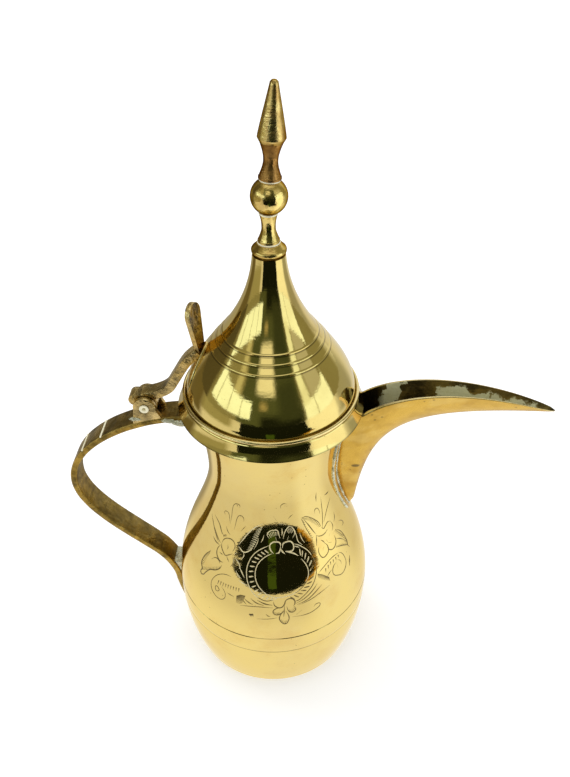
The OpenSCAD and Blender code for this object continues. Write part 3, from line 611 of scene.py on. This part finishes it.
spout = {
    "rim": [(41.7, 159.55), (55.5, 170.6), (84.85, 175.4), (128, 159.2)],
    "keel": [(41.1, 98), (46.4, 145.1), (53.1, 159.4), (127.6, 158.5)],
    "rootZ": (94, 158.8), "rootW": 8.6, "taper": 0.42, "tipW": 0.2, "bulge": 0.62, "wall": 1.3, "keelWall": 2.2,
    "tipThin": 0.8, "flange": 0.92, "flangeW": 2.6, "sill": 26, "windowTop": 2.5,
    "panels": (72, 48), "first": 0.05,  # the first panel runs from the flange to the fan
}


def spoutHalf(s, u):
    return s["rootW"] * (1 - u) ** s["taper"] + s["tipW"] * u


def rootHalf(s, z):  # half width of the spout where it stands on the body
    low, high = s["rootZ"]
    return s["rootW"] * max(0, (z - low) / (high - low)) ** s["bulge"]


def spoutPoint(s, u, v):  # u runs from the body to the tip, v from -1 at one rim to 1 at the other
    side = -1 if v < 0 else 1
    rise = abs(v)
    if u <= 0:
        z = mixed(*s["rootZ"], rise)
        y = side * s["rootW"] * rise ** s["bulge"]
        return Vector((math.sqrt((bodyR(z) + s["flange"]) ** 2 - y * y), y, z))
    rim, keel = bezier(s["rim"], u), bezier(s["keel"], u)
    return Vector((mixed(keel[0], rim[0], rise), side * spoutHalf(s, u) * rise ** s["bulge"],
                   mixed(keel[1], rim[1], rise)))


def makeSpout(s):
    (along, across), first = s["panels"], s["first"]
    bm = bmesh.new()
    bmesh.ops.create_grid(bm, x_segments=along, y_segments=across, size=1)
    weights = {}
    for vert in bm.verts:
        u = (vert.co.x + 1) / 2
        v = mixed(vert.co.y, math.sin(vert.co.y * math.pi / 2), 0.6)
        far = max(0, (u - first) / (1 - first))
        vert.co = (spoutPoint(s, 0, v).lerp(spoutPoint(s, 1e-9, v), u / first) if u < first
                   else spoutPoint(s, far, v)) * mm
        wall = mixed(s["keelWall"], s["wall"], abs(v)) * (1 - s["tipThin"] * far)
        weights[vert.index] = min(wall, 0.6 * spoutHalf(s, far) + 0.05) / s["keelWall"]
    bm.normal_update()
    middles = {face: face.calc_center_median() for face in bm.faces}
    keel = min(bm.faces, key=lambda face: abs(middles[face].y) + abs(middles[face].x - 0.08))
    if keel.normal.z > 0:
        bmesh.ops.reverse_faces(bm, faces=bm.faces)
    piece = meshPiece(bm, "spoutShell", 60)
    group = piece.vertex_groups.new(name="wall")
    for index, weight in weights.items():
        group.add([index], weight, "REPLACE")
    thick = piece.modifiers.new("thickness", "SOLIDIFY")
    thick.thickness = s["keelWall"] * mm
    thick.offset = -1
    thick.vertex_group = group.name
    thick.material_offset, thick.material_offset_rim = 1, 2
    for material in (spoutBrass, spoutTrough, rimBrass):
        piece.data.materials.append(material)
    applyModifiers(piece)
    fit(piece, "pot", "spout_brass", (), "spout")


def pourWindow(s):  # the opening in the body behind the spout's root
    heights = ramp(s["rootZ"][0] + s["sill"], s["rootZ"][1] - s["windowTop"], 12)
    sides = [(rootHalf(s, z) - s["wall"] - 1, z) for z in heights]
    outline = sides + [(-y, z) for y, z in reversed(sides)]
    cutter = swept("windowCutter", [(outline, [((x, 0, 0), (0, 1, 0), (0, 0, 1)) for x in (20, 60)])], 32)
    cut = bodyPiece.modifiers.new("window", "BOOLEAN")
    cut.operation = "DIFFERENCE"
    cut.object = cutter
    applyModifiers(bodyPiece)
    bpy.data.objects.remove(cutter)


def solderLines(s):  # two bright seams: flange to body, and spout to flange
    sweeps = []
    low, high = s["rootZ"]
    for side in (-1, 1):
        for extra, lift, radius in ((s["flangeW"] + 0.5, 0.05, 0.8), (-0.2, s["flange"], 0.6)):
            points, outward, radii = [], [], []
            for i, z in enumerate(ramp(low, high - 0.6, 40)):
                angle = math.asin((rootHalf(s, z) + extra) / bodyR(z)) * side
                out = Vector((math.cos(angle), math.sin(angle), 0))
                points.append(Vector((out.x * (bodyR(z) + lift), out.y * (bodyR(z) + lift), z)))
                outward.append(out)
                radii.append(radius * (1 + 0.35 * noise.noise(Vector((i * 0.35, extra, side)))))
            sweeps.append(beadAlong(points, outward, radii))
    fit(swept("spoutSolder", sweeps), "pot", "solder", tin)


makeSpout(spout)
pourWindow(spout)
solderLines(spout)
fit(roundedCopy("spout_flange", "flange", 0.2), "pot", "spout_brass", spoutBrass, "spout_flange")
print("spout made")

handle = {
    "width": 12.5, "thick": 3.2, "tabZ": (139, 146), "start": (-42, 151.3), "far": (-98.58, 107),
    "low": (-62, 56.5), "touchZ": 34, "tailZ": 16, "tailThick": 1.0, "corner": 0.7,
    "marks": [0.52, 0.69], "markHalf": 0.012, "markDepth": 0.4,
}


def handleLine(h):  # (x, z, thickness, depth of a filed mark) down the strap
    def onBody(z, gap, thick):
        return (-(bodyR(z) + gap + thick / 2), z)

    def tailThick(z):
        return mixed(h["tailThick"], h["thick"], (z - h["tailZ"]) / (h["touchZ"] - h["tailZ"]))

    tab, belly = 0.02, 0.08
    bend, touch = onBody(h["tabZ"][1], tab, h["thick"]), onBody(h["touchZ"], belly, tailThick(h["touchZ"]))
    start, far, low = h["start"], h["far"], h["low"]
    curves = [[bend, (bend[0] - 0.5, bend[1] + 4), (start[0] + 4, start[1] + 0.3), start],
              [start, (start[0] - 22, start[1] - 1.7), (far[0], far[1] + 26), far],
              [far, (far[0], far[1] - 19), (low[0] - 14, low[1] + 14.5), low],
              [low, (low[0] + 5, low[1] - 5.2), (touch[0] - 0.2, touch[1] + 8), touch]]
    points = [(*onBody(z, tab, h["thick"]), h["thick"], 0) for z in ramp(*h["tabZ"], 3)]
    for number, (curve, count) in enumerate(zip(curves, (12, 30, 26, 12))):
        places = {t: 0 for t in ramp(0, 1, count)[1:]}
        for mark in h["marks"] if number == 1 else ():
            places = {t: d for t, d in places.items() if abs(t - mark) > 1.4 * h["markHalf"]}
            for k in (-1, -0.6, 0, 0.6, 1):
                places[mark + k * h["markHalf"]] = h["markDepth"] * (1 - k * k)
        points += [(*bezier(curve, t), h["thick"], places[t]) for t in sorted(places)]
    tail = ramp(h["touchZ"], h["tailZ"], 10)[1:]
    return points + [(*onBody(z, belly, tailThick(z)), tailThick(z), 0) for z in tail]


def makeHandle(h):
    line = handleLine(h)
    w, t, c = h["width"] / 2, h["thick"] / 2, h["corner"]
    frames, marks = [], []
    for i, (x, z, thick, dip) in enumerate(line):
        ahead, behind = line[min(i + 1, len(line) - 1)], line[max(i - 1, 0)]
        inward = Vector((ahead[0] - behind[0], 0, ahead[1] - behind[1])).normalized().cross(Vector((0, 1, 0)))
        wander = 0.036 * abs(noise.noise(Vector((i * 0.21, 0, 3))))
        frames.append((Vector((x, 0, z)) + inward * dip / 2, Vector((0, 1 - wander, 0)),
                       inward * (thick - dip) / h["thick"]))
        if dip > 0.95 * h["markDepth"]:
            place = Vector((x, 0, z)) - inward * (thick / 2 - dip * 0.55)
            marks.append((roundSection, [(place + Vector((0, y, 0)), Vector((0.5, 0, 0)), Vector((0, 0, 0.28)))
                                         for y in ramp(0.2 - w, w - 0.2, 6)]))
    section = []
    for cx, cy, start in ((1, 1, 0), (-1, 1, 90), (-1, -1, 180), (1, -1, 270)):
        section += arc((cx * (w - c), cy * (t - c)), c, start, start + 90, 4)
    fit(swept("strap", [(section, frames)], 45), "pot", "handle_bronze", aged, "handle_strap")
    fit(swept("strapMarks", marks), "pot", "pin_metal", pale)


makeHandle(handle)
print("handle made")

hinge = {
    "armEnd": (186.8, 25), "arcWidth": 0.6,  # the lever's end: height, and how far the pale arc round it reaches; the arc is a painted highlight
    # solder lumps on each side: place, half sizes
    "blobs": [((-41.5, 6.4, 149.6), (4.2, 1.1, 1.8)), ((-46.6, 6.2, 150.4), (3.4, 0.9, 1.3)),
              ((-37.0, 5.2, 148.6), (2.4, 2.4, 2.6)), ((-62.6, 6.1, 150.7), (3.0, 0.8, 1.1))],
}


def hingeSolder(h):
    bm = bmesh.new()
    lumps = [((x, side * y, z), size) for side in (-1, 1) for (x, y, z), size in h["blobs"]]
    for number, (place, size) in enumerate(lumps):
        for vert in bmesh.ops.create_icosphere(bm, subdivisions=3, radius=1)["verts"]:
            bump = 1 + 0.28 * noise.noise(vert.co * 1.7 + Vector((number * 5, 0, 0)))
            vert.co = (Vector(place) + Vector(vert.co[i] * size[i] * bump for i in range(3))) * mm
    fit(meshPiece(bm, "hingeSolder", 80), "pot", "solder", tin)
    middle, reach = h["armEnd"]
    points, outward, radii = [], [], []
    for i, t in enumerate(ramp(-1, 1, 36)):  # a pale arc on the dome round the end of the lever, a painted highlight
        z = middle + 3.2 - 15.5 * abs(t) ** 1.6
        angle = 180 + reach * math.sin(t * math.pi / 2) * (0.62 + 0.1 * abs(t))
        points.append(around(domeR(z) + 0.12, angle, z))
        outward.append(around(1, angle, 0.6).normalized())
        radii.append(h["arcWidth"] * (1.1 - 0.6 * t * t) * (1 + 0.3 * noise.noise(Vector((i * 0.4, 1, 2)))))
    fit(swept("leverHighlightArc", [beadAlong(points, outward, radii)]), "lid", "solder", rimBrass)


fit(roundedCopy("hinge_ear_front", "earFront", 0.45), "pot", "hinge_bronze", cast, "hinge_ear_front")
fit(roundedCopy("hinge_ear_back", "earBack", 0.45), "pot", "hinge_bronze", cast, "hinge_ear_back")
fit(roundedCopy("hinge_pin", "pin", 0.15), "pot", "pin_metal", pale, "hinge_pin")
fit(roundedCopy("lid_lever", "lever", 0.5), "lid", "hinge_bronze", cast, "lid_lever")
thumb = roundedCopy("thumb_piece", "thumbPlate", 0.18, 20, 50, (0.8, 0.25))
fit(thumb, "lid", "hinge_bronze", cast, "thumb_piece")
fit(roundedCopy("handle_solder", "tailSolder", 0.3), "pot", "solder", tin, "handle_solder")
hingeSolder(hinge)
print("hinge made")

engraving = {
    "line": 0.25, "flat": 0.8, "lift": -0.03, "perDegree": 0.74,
    "paintedPaleCuts": (-86.5, 92.8, 28.5, 20),  # the cuts painted pale as if lit, over the body's dark reflected patch: centre angle, height and half sizes
    # each stroke: weight, first angle about the axis and height, then steps of both, all in tenths
    "strokes": {
        "rings": [
            (10, -885, 1007, -45, -15, -46, -21, -34, -27, -21, -32, -10, -37, 4, -36, 13, -34, 21, -30, 27, -25,
            34, -18, 35, -10, 35, 4, 25, 6), (10, -705, 1002, 37, -11, 39, -22, 33, -26, 25, -39, 10, -36, -3, -37,
            -17, -33, -26, -30, -35, -24, -38, -21, -33, -14, -16, 0), (10, -863, 965, -33, -9, -35, -17, -30, -25,
            -17, -30, -3, -27, 8, -31, 20, -30, 32, -26, 33, -18, 27, -8, 27, -3, 38, 1, 39, 5, 41, 10, 37, 16, 30,
            22, 21, 27, 6, 36, -15, 35, -22, 26), (15, -768, 971, 36, -9, 29, -10, 28, -16),
        ],
        "bow": [
            (15, -802, 999, -2, 16, -31, 9, -31, -4, -17, -15, 5, -22, 22, -18), (15, -802, 999, -5, -18, -11, -13,
            -21, -3), (15, -788, 989, 6, 22, 30, 8, 31, -3, 18, -23, -10, -22, -25, -3, -29, 5), (17, -803, 990,
            12, -17, 19, -14), (13, -703, 990, 23, -6, 20, -8),
        ],
        "fan": [
            (12, -887, 1042, -17, 20, 17, 16, 29, 7, 36, -3, 10, -21, 8, -21), (13, -837, 1048, 4, -21), (12, -778,
            1036, 9, 25, 32, 30, 20, 7, 21, -15, 13, -26, -21, -25), (10, -717, 1098, 31, -24, 13, -33, 9, -32, 31,
            -25), (13, -734, 1047, -14, -21), (15, -786, 1093, 2, -22, -5, -18), (12, -929, 1057, -10, -22, -12,
            -17), (12, -642, 1049, 7, -27, 22, -33),
        ],
        "leafLeft": [
            (13, -942, 1118, -66, -28, -49, -36, -35, -37, -33, -37), (10, -971, 1040, -9, -26, -24, -37), (10,
            -1085, 1088, -17, -18, -20, -19), (12, -1126, 973, 23, -11, 21, -9, 39, 9, 22, 16), (12, -1082, 953, 9,
            -17, -19, -26), (14, -1160, 916, 30, 21), (12, -1137, 908, 25, -12, 21, -23, -5, -10), (14, -1116, 849,
            24, -22, 21, -9), (14, -1094, 873, 22, -23, 21, -23), (14, -1088, 805, 32, -7, 34, -11),
        ],
        "flowerLeft": [
            (12, -1268, 945, 12, 25, 36, 17, 39, 2, 24, -14, 4, -20, -11, -20), (12, -1268, 945, 8, -18, 24, -19,
            19, -9, 31, 12, 25, 13), (10, -1214, 955, 7, -13, -4, -10), (12, -1272, 935, -20, -27, 3, -24, 19, -17,
            23, -10, 25, 1), (12, -1157, 909, 11, -15, -1, -21, -13, -16), (10, -1207, 900, 16, -13, 16, -13), (10,
            -1269, 896, 22, -1, 11, 0),
        ],
        "leafFar": [
            (12, -1345, 872, -32, -36, -17, -34, -1, -28, 17, -22, -4, -27, 17, -4, 29, 32, 29, 29, 37, 15, 32, 22,
            12, 22), (10, -1320, 837, 35, 22, 28, -3, 15, -12),
        ],
        "rays": [
            (15, -1361, 945, 38, -12, 38, -3), (12, -1371, 990, 28, -17, 34, -18, 30, -13), (10, -1327, 1021, 34,
            -22, 32, -16), (10, -1260, 1040, 22, -19, 29, -12), (9, -1449, 1038, 40, -26, 42, -30, 43, -28, 27,
            -17), (9, -1407, 1050, 54, -14, 41, -20, 28, -28),
        ],
        "sprigs": [
            (9, -1223, 1078, 0, 40, 1, 34, 14, 29, 33, 14, 24, -4, 2, -15), (9, -1185, 1191, 10, -6, -3, -9), (9,
            -1182, 1044, 5, 30, 6, 30, 15, 24, 24, 7, 23, -9, 4, -19), (9, -1141, 1133, 7, -9), (8, -1225, 1064,
            -15, 27, -14, 21, -22, 7, -27, -12, 13, -12), (9, -789, 1205, 0, 17, 22, 12, 33, -5), (9, -762, 1221,
            30, -6), (10, -853, 1163, 26, -27), (10, -729, 1138, 19, 12, 23, 8),
        ],
        "scrollLeft": [
            (8, -1140, 809, -40, -1, -46, -16, -36, -31, -16, -40, 12, -33, 25, -20, 36, -10, 31, 11, 10, 30, -14,
            21, -21, 12), (9, -1212, 700, -20, -4, -9, 11, 6, 14, 17, -5, 6, -11, -9, -7), (10, -1156, 716, 25, -4,
            25, -4),
        ],
        "scrollRight": [
            (9, -355, 842, 27, -22, 13, -33, -3, -30, -26, -23, -34, -8, -35, 11, -30, 20, -2, 25, 19, 20, 27, 6),
            (8, -383, 813, 20, -16, 1, -23), (8, -399, 798, 1, -25), (9, -551, 814, 29, 11, 32, 9, 40, 9, 47, 3,
            41, -5), (9, -495, 772, 20, 10, 23, 8), (16, -265, 768, -15, -22, -14, -26),
        ],
        "leafRight": [
            (15, -591, 1109, 34, -38, 27, -35, 23, -30), (10, -615, 1124, 43, -2, 45, -19, 43, -27, 28, -25, 10,
            -23), (10, -615, 1124, 17, -31, 13, -30, 22, -36, 16, -31), (9, -593, 1032, 29, -8), (10, -444, 1025,
            19, -17, 24, 6, 30, 8, 33, -8), (13, -505, 1002, -6, -25, -12, -30),
        ],
        "flowerRight": [
            (11, -506, 998, 29, -13, 50, -4, 37, 9), (11, -338, 1014, 13, -29, -21, -23), (11, -505, 937, -10, -18,
            5, -27, 18, -17, 34, 3, 23, 13, 3, 26, -13, 17), (10, -467, 924, -11, -15), (11, -344, 935, 2, -28,
            -23, -21, -35, -5, -24, 10, -13, 17), (12, -476, 963, 18, -13, 12, -19), (12, -427, 946, 7, -14), (12,
            -416, 926, 29, -11), (10, -393, 951, 11, 11), (11, -307, 951, 39, -29, 23, -39, 6, -38, -7, -24, 14,
            -21), (11, -246, 821, -56, 32, -63, 21), (11, -335, 910, 37, -18, 33, -27),
        ],
        "raysRight": [
            (9, -391, 1180, -2, -46, -9, -51, -18, -42, -15, -29), (9, -261, 1124, -66, -31, -46, -30, -34, -26),
            (10, -480, 1113, 5, 19, 25, 1, 18, -16, 3, -24), (9, -265, 1035, -10, -24, -29, -20), (10, -244, 969,
            36, -17, 10, -18, -27, -6), (13, -445, 1228, -5, -30, 0, -26), (14, -342, 1171, 37, -5, 31, 1),
        ],
        "below": [
            (10, -1063, 672, 53, 7, 66, 6, 80, -2), (15, -1039, 717, 28, -16, 27, -9), (15, -999, 725, 34, -19, 46,
            -11), (15, -959, 722, 47, -17, 45, -7), (12, -1056, 712, 18, -14, 14, -12), (8, -959, 610, 54, 3, 37,
            4, 28, 5), (13, -905, 644, 12, -11, 13, -3), (9, -751, 618, 74, -6, 63, 8, 39, 25, -28, 8, -15, -11),
            (10, -728, 627, 35, 21), (11, -727, 694, 59, 17, 55, 27, 39, 27), (11, -721, 686, 66, 12, 62, 27, 48,
            22), (9, -712, 681, 77, 11, 70, 15, 76, 12),
        ],
        "palmette": [
            (12, -862, 718, 11, -25, 32, -11, 23, 17, 11, 22, 27, 7, 22, -12, 4, -20, -9, -12), (11, -819, 681,
            -29, -4, -16, -19, 12, -16, 28, 1, 21, 21), (11, -741, 684, 11, -25, -20, -12, -19, 7, -13, 31), (11,
            -801, 661, -26, -38, 9, -29, 24, -16, 18, 18, 4, 27, -16, 36), (11, -796, 693, -3, -39, -4, -30),
        ],
    },
    # each row of short cuts: how many, weight, then where they start and where they end
    "rows": [
        (9, 12, (-1224, 757, 145, 7), (-1229, 734, 150, 12)), (13, 9, (-942, 1101, -27, -45, -18, -38, -30, -43),
        (-992, 1080, -32, -49, -17, -39, -22, -35)), (6, 10, (-894, 1067, 33, 12, 37, -3), (-874, 1046, 20, 7, 26,
        2)), (5, 9, (-744, 1080, 26, 11, 24, -18), (-732, 1059, 14, 3, 10, -5)), (15, 9, (-606, 1122, 66, -14, 55,
        -33, 38, -43), (-589, 1109, 50, -24, 41, -28, 27, -24)), (10, 8, (-613, 1112, 27, -53, 39, -63), (-593,
        1100, 31, -47, 30, -51)), (13, 9, (-307, 951, 60, -69, 9, -47), (-326, 945, 47, -55, 13, -37)), (10, 8,
        (-359, 872, 56, -21, 49, -25), (-352, 882, 50, -18, 39, -20)), (6, 13, (-494, 816, 46, 16, 80, 0), (-499,
        798, 52, 18, 78, 2)), (13, 10, (-558, 812, 31, -16, 41, -32), (-562, 791, 28, -20, 51, -30)), (10, 8,
        (-1350, 868, -39, -56, -4, -44), (-1350, 847, -13, -34, -5, -33)), (13, 8, (-1374, 744, 67, 37, 69, 36),
        (-1369, 768, 61, 29, 66, 34)), (8, 11, (-1087, 720, 22, 12, 28, 1), (-1088, 680, 21, -2, 16, 9)), (3, 17,
        (-1001, 632, 16, 3), (-995, 619, 16, 3)), (6, 8, (-863, 648, 14, -8, 27, 3), (-855, 659, 13, -5, 16, 1)),
        (6, 8, (-821, 594, 21, -16, 24, 14), (-814, 609, 16, -9, 18, 6)), (5, 8, (-769, 650, 19, -6, 19, 13),
        (-767, 666, 13, -4, 12, 12)), (5, 9, (-805, 1122, 27, 4, 26, -7), (-798, 1111, 19, 1, 21, -6)), (4, 11,
        (-1270, 989, 20, 10), (-1260, 980, 21, 11)),
    ],
    "rope": [(16, 15, -0.02), (14, 15, 0.07)],  # cuts between the two rings, left and right: count, weight, slant
}


def places(steps):  # a line's points, from where it starts and the steps from there on
    return [(angle / 10, z / 10) for angle, z in zip(accumulate(steps[::2]), accumulate(steps[1::2]))]


def walk(points, t):  # the place a share t of the way along a line of points
    lengths = [math.dist(a, b) for a, b in zip(points, points[1:])]
    left = t * sum(lengths)
    for (a, b), length in zip(zip(points, points[1:]), lengths):
        if left <= length or (a, b) == (points[-2], points[-1]):
            k = min(1, left / length)
            return (mixed(a[0], b[0], k), mixed(a[1], b[1], k))
        left -= length


def cutLines(e):  # every cut as its points and how heavy it is at each
    for strokes in e["strokes"].values():
        for weight, *steps in strokes:
            points = places(steps)
            ends = (0, len(points) - 1)
            yield points, [weight / 10 * (0.3 if i in ends else 1) for i in range(len(points))]
    for count, weight, start, end in e["rows"]:
        for t in ramp(0, 1, count - 1):
            yield [walk(places(start), t), walk(places(end), t)], [weight / 10, 0.35 * weight / 10]
    left, right, inner = (places(stroke[1:]) for stroke in e["strokes"]["rings"][:3])
    split = 12  # the inner ring's points up to here run beside the left ring
    for (count, weight, slant), outer, near in zip(e["rope"], (left[1:], right[1:]),
                                                   (inner[:split], inner[:split - 1:-1])):
        for t in ramp(0.02, 0.98, count - 1):
            (a0, z0), (a1, z1) = walk(outer, t), walk(near, min(1, max(0, t - slant)))
            cut = [(mixed(a0, a1, k), mixed(z0, z1, k)) for k in (0.26, 0.5, 0.76)]
            yield cut, [share * weight / 10 for share in (0.7, 1, 0.5)]


def makeEngraving(e):
    curve = bpy.data.curves.new("cuts", "CURVE")
    curve.dimensions = "3D"
    curve.bevel_depth = e["line"] * mm
    curve.bevel_resolution = 1
    for points, weights in cutLines(e):
        spline = curve.splines.new("BEZIER")
        spline.resolution_u = 5
        spline.bezier_points.add(len(points) - 1)
        for knot, (angle, z), weight in zip(spline.bezier_points, points, weights):
            knot.co = (angle * e["perDegree"] * mm, z * mm, 0)
            knot.handle_left_type = knot.handle_right_type = "AUTO"
            knot.radius = weight
    flat = bpy.data.objects.new("cuts", curve)
    scene.collection.objects.link(flat)
    bm = bmesh.new()
    bm.from_mesh(asMesh(flat))
    bpy.data.objects.remove(flat)
    for vert in bm.verts:  # wrapped round the body
        x, z, out = vert.co / mm
        vert.co = around(bodyR(z) + e["lift"] + out * e["flat"], x / e["perDegree"], z) * mm
    bmesh.ops.recalc_face_normals(bm, faces=bm.faces)
    # cuts inside this patch get the pale material, painted light; the rest keep the dark one
    turn, high, wide, tall = e["paintedPaleCuts"]
    for face in bm.faces:
        x, y, z = face.calc_center_median() / mm
        off = math.hypot((math.degrees(math.atan2(y, x)) - turn) / wide, (z - high) / tall)
        face.material_index = int(off < 1)
    other = bm.copy()
    bmesh.ops.transform(other, matrix=Matrix.Scale(-1, 4, (0, 1, 0)), verts=other.verts)
    bmesh.ops.reverse_faces(other, faces=other.faces)
    for cuts, name in ((bm, "engravingFront"), (other, "engravingBack")):
        fit(meshPiece(cuts, name, 180), "pot", "polished_body", (cutDark, cutBrass))


makeEngraving(engraving)
print("engraving made")

studio = {
    "floor": (0.9, 0.9, 0.9), "floorGlow": 0.3,
    # what the metal sees of the room: turns from the front, heights in degrees, soft edges, colour
    "room": (0.29, 0.275, 0.16),
    "roomPatches": {
        "above": (-200, 200, 62, 100, 1, 8, (0.9, 0.9, 0.85)),
        "behindRight": (128, 200, -9, 90, 8, 2, (0.85, 0.86, 0.85)),
        "behindLeft": (-200, -164, -9, 90, 8, 2, (0.8, 0.8, 0.78)),
        "left": (-126, -88, -9, 45, 3, 6, (0.10, 0.085, 0.045)),
        "backLeft": (-164, -126, -9, 50, 5, 6, (0.20, 0.18, 0.12)),
        "leftStreak": (-54, -44, 22, 60, 3, 4, (0.62, 0.6, 0.42)),
        "front": (-40, 47, -20, 60, 3, 5, (0.085, 0.10, 0.045)),
        "frontDark": (-10, 45, -20, 13, 6, 6, (0.012, 0.015, 0.007)),
        "frontRight": (14, 45, 5, 36, 8, 5, (0.045, 0.055, 0.025)),
        "windowLeft": (-83, -23, 6, 23.5, 1.2, 0.8, (1.2, 1.4, 1.5)),
        "barA": (-73.3, -72.2, 5, 25, 0.5, 0.5, (0.45, 0.45, 0.35)),
        "barB": (-55.2, -54, 5, 25, 0.5, 0.5, (0.45, 0.45, 0.35)),
        "barC": (-37.6, -36.6, 5, 25, 0.5, 0.5, (0.45, 0.45, 0.35)),
        "windowRight": (49, 93, -2, 17.5, 1.5, 1, (1.25, 1.42, 1.5)),
        "windowHigh": (50, 61, 15, 50, 2, 2, (1.05, 1.15, 1.1)),
        "windowDim": (63, 88, 17, 42, 2, 2, (0.55, 0.55, 0.5)),
        "barD": (66, 67.2, -3, 18, 0.5, 0.5, (0.55, 0.55, 0.45)),
        "ceilingLamp": (-19, 10, 30, 45, 5, 3, (1.0, 1.0, 0.92)),
        "lowLamp": (-12, -2, 19, 25, 4, 3, (0.42, 0.36, 0.2)),
    },
    # the same for the table, with distances in metres
    "table": (0.80, 0.78, 0.74),
    "tablePatches": {
        "near": (-200, 200, -1, 0.125, 1, 0.045, (1.0, 0.99, 0.95)),
        "frontFar": (-33, 48, 1.2, 9, 2, 0.2, (0.02, 0.024, 0.012)),
        "right": (44, 96, -1, 9, 14, 0.1, (1.05, 1.06, 1.05)),
        "farRight": (50, 94, 0.3, 9, 3, 0.05, (1.22, 1.24, 1.2)),
        "farLeft": (-95, -45, 0.66, 9, 5, 0.16, (0.38, 0.36, 0.22)),
        "left": (-128, -92, 0.34, 9, 6, 0.1, (0.16, 0.13, 0.06)),
        "backLeft": (-172, -126, 0.06, 9, 8, 0.05, (0.40, 0.37, 0.28)),
        "backRight": (97, 135, 0.4, 9, 8, 0.1, (0.42, 0.42, 0.36)),
    },
    # flat shapes on the table that only the metal sees, by their corners
    "shapes": {
        "tableEnd": ([(-0.32, -0.325), (0.36, -0.225), (0.5, -0.45), (5.2, -5.2), (-3.8, -5.8), (-0.30, -0.45)],
                     (0.008, 0.010, 0.005)),
        "greenStreak": ([(-0.006, -0.33), (0.043, -0.33), (0.079, -0.62), (-0.026, -0.62)], (0.05, 0.09, 0.012)),
        "warmCorner": ([(0.20, -0.245), (0.35, -0.225), (0.34, -0.26), (0.21, -0.275)], (0.55, 0.30, 0.03)),
    },
}


def stageMesh(name, bm, material, reflectedOnly=False):
    thing = meshPiece(bm, name)
    thing.data.materials.append(material)
    if reflectedOnly:
        thing.visible_camera = thing.visible_diffuse = thing.visible_shadow = False
        thing.visible_transmission = thing.visible_volume_scatter = False


def paintPatches(tree, below, patches, place, rise):
    way = axes(tree, place)
    turn = maths(tree, "DEGREES", maths(tree, "ARCTAN2", way["X"], maths(tree, "MULTIPLY", way["Y"], -1.0)))
    for *edges, colour in patches.values():
        below = paintOver(tree, below, colour, useGroup(tree, "patch", turn, rise, *edges)["Mask"], 1.0)
    return below


def makeFloor(s):
    material, tree, shader = nodeTree("paleFloor")
    path = addNode(tree, "LightPath", {})
    setSockets(tree, shader, {
        "Base Color": (*s["floor"], 1), "Roughness": 0.9, "Specular IOR Level": 0.05,
        "Emission Color": (1, 1, 1, 1),
        "Emission Strength": maths(tree, "MULTIPLY", path["Is Camera Ray"], s["floorGlow"])})
    place = coordinate(tree)
    far = vectors(tree, "LENGTH", place)
    seen = paintPatches(tree, (*s["table"], 1), s["tablePatches"], place, far)
    mirrored = addNode(tree, "Emission", {"Color": seen})[0]
    both = addNode(tree, "MixShader", {0: path["Is Glossy Ray"], 1: shader.outputs[0], 2: mirrored})[0]
    setSockets(tree, tree.nodes["Material Output"], {"Surface": both})
    bm = bmesh.new()
    bmesh.ops.create_grid(bm, x_segments=1, y_segments=1, size=6)
    stageMesh("floor", bm, material)


def makeCards(s):
    for layer, (name, (corners, colour)) in enumerate(s["shapes"].items()):
        material, tree, shader = nodeTree(name + "Glow")
        setSockets(tree, shader, {"Base Color": (0, 0, 0, 1), "Specular IOR Level": 0,
                                  "Emission Color": (*colour, 1), "Emission Strength": 1})
        bm = bmesh.new()
        bm.faces.new([bm.verts.new((x, y, 0.0015 + 0.0004 * layer)) for x, y in corners])
        stageMesh(name, bm, material, True)


def makeWorld(s):
    world = bpy.data.worlds.new("studio")
    scene.world = world
    world.use_nodes = True
    tree = world.node_tree
    path = addNode(tree, "LightPath", {})
    way = coordinate(tree, "Generated")
    rise = maths(tree, "DEGREES", maths(tree, "ARCSINE", axes(tree, way)["Z"]))
    room = paintPatches(tree, (*s["room"], 1), s["roomPatches"], way, rise)
    soft = addNode(tree, "Mix", {"Factor": path["Is Glossy Ray"], "A": (0.95, 0.95, 0.95, 1), "B": room},
                   data_type="RGBA")["Result"]
    seen = addNode(tree, "Mix", {"Factor": path["Is Camera Ray"], "A": soft, "B": (1, 1, 1, 1)},
                   data_type="RGBA")["Result"]
    setSockets(tree, tree.nodes["Background"], {"Color": seen})


def lamp(name, place, aim, size, power):
    data = bpy.data.lights.new(name, "AREA")
    data.shape = "RECTANGLE"
    data.size, data.size_y = size
    data.energy = power
    thing = bpy.data.objects.new(name, data)
    thing.visible_glossy = False
    scene.collection.objects.link(thing)
    way = Vector(aim) - Vector(place)
    thing.matrix_world = Matrix.Translation(place) @ way.to_track_quat("-Z", "Y").to_matrix().to_4x4()


makeFloor(studio)
makeCards(studio)
makeWorld(studio)
lamp("softLamp", (-0.7, 0.5, 1.3), (0, 0, 0.1), (0.7, 0.7), 4)
scene.view_settings.view_transform = "Standard"
print("studio made")
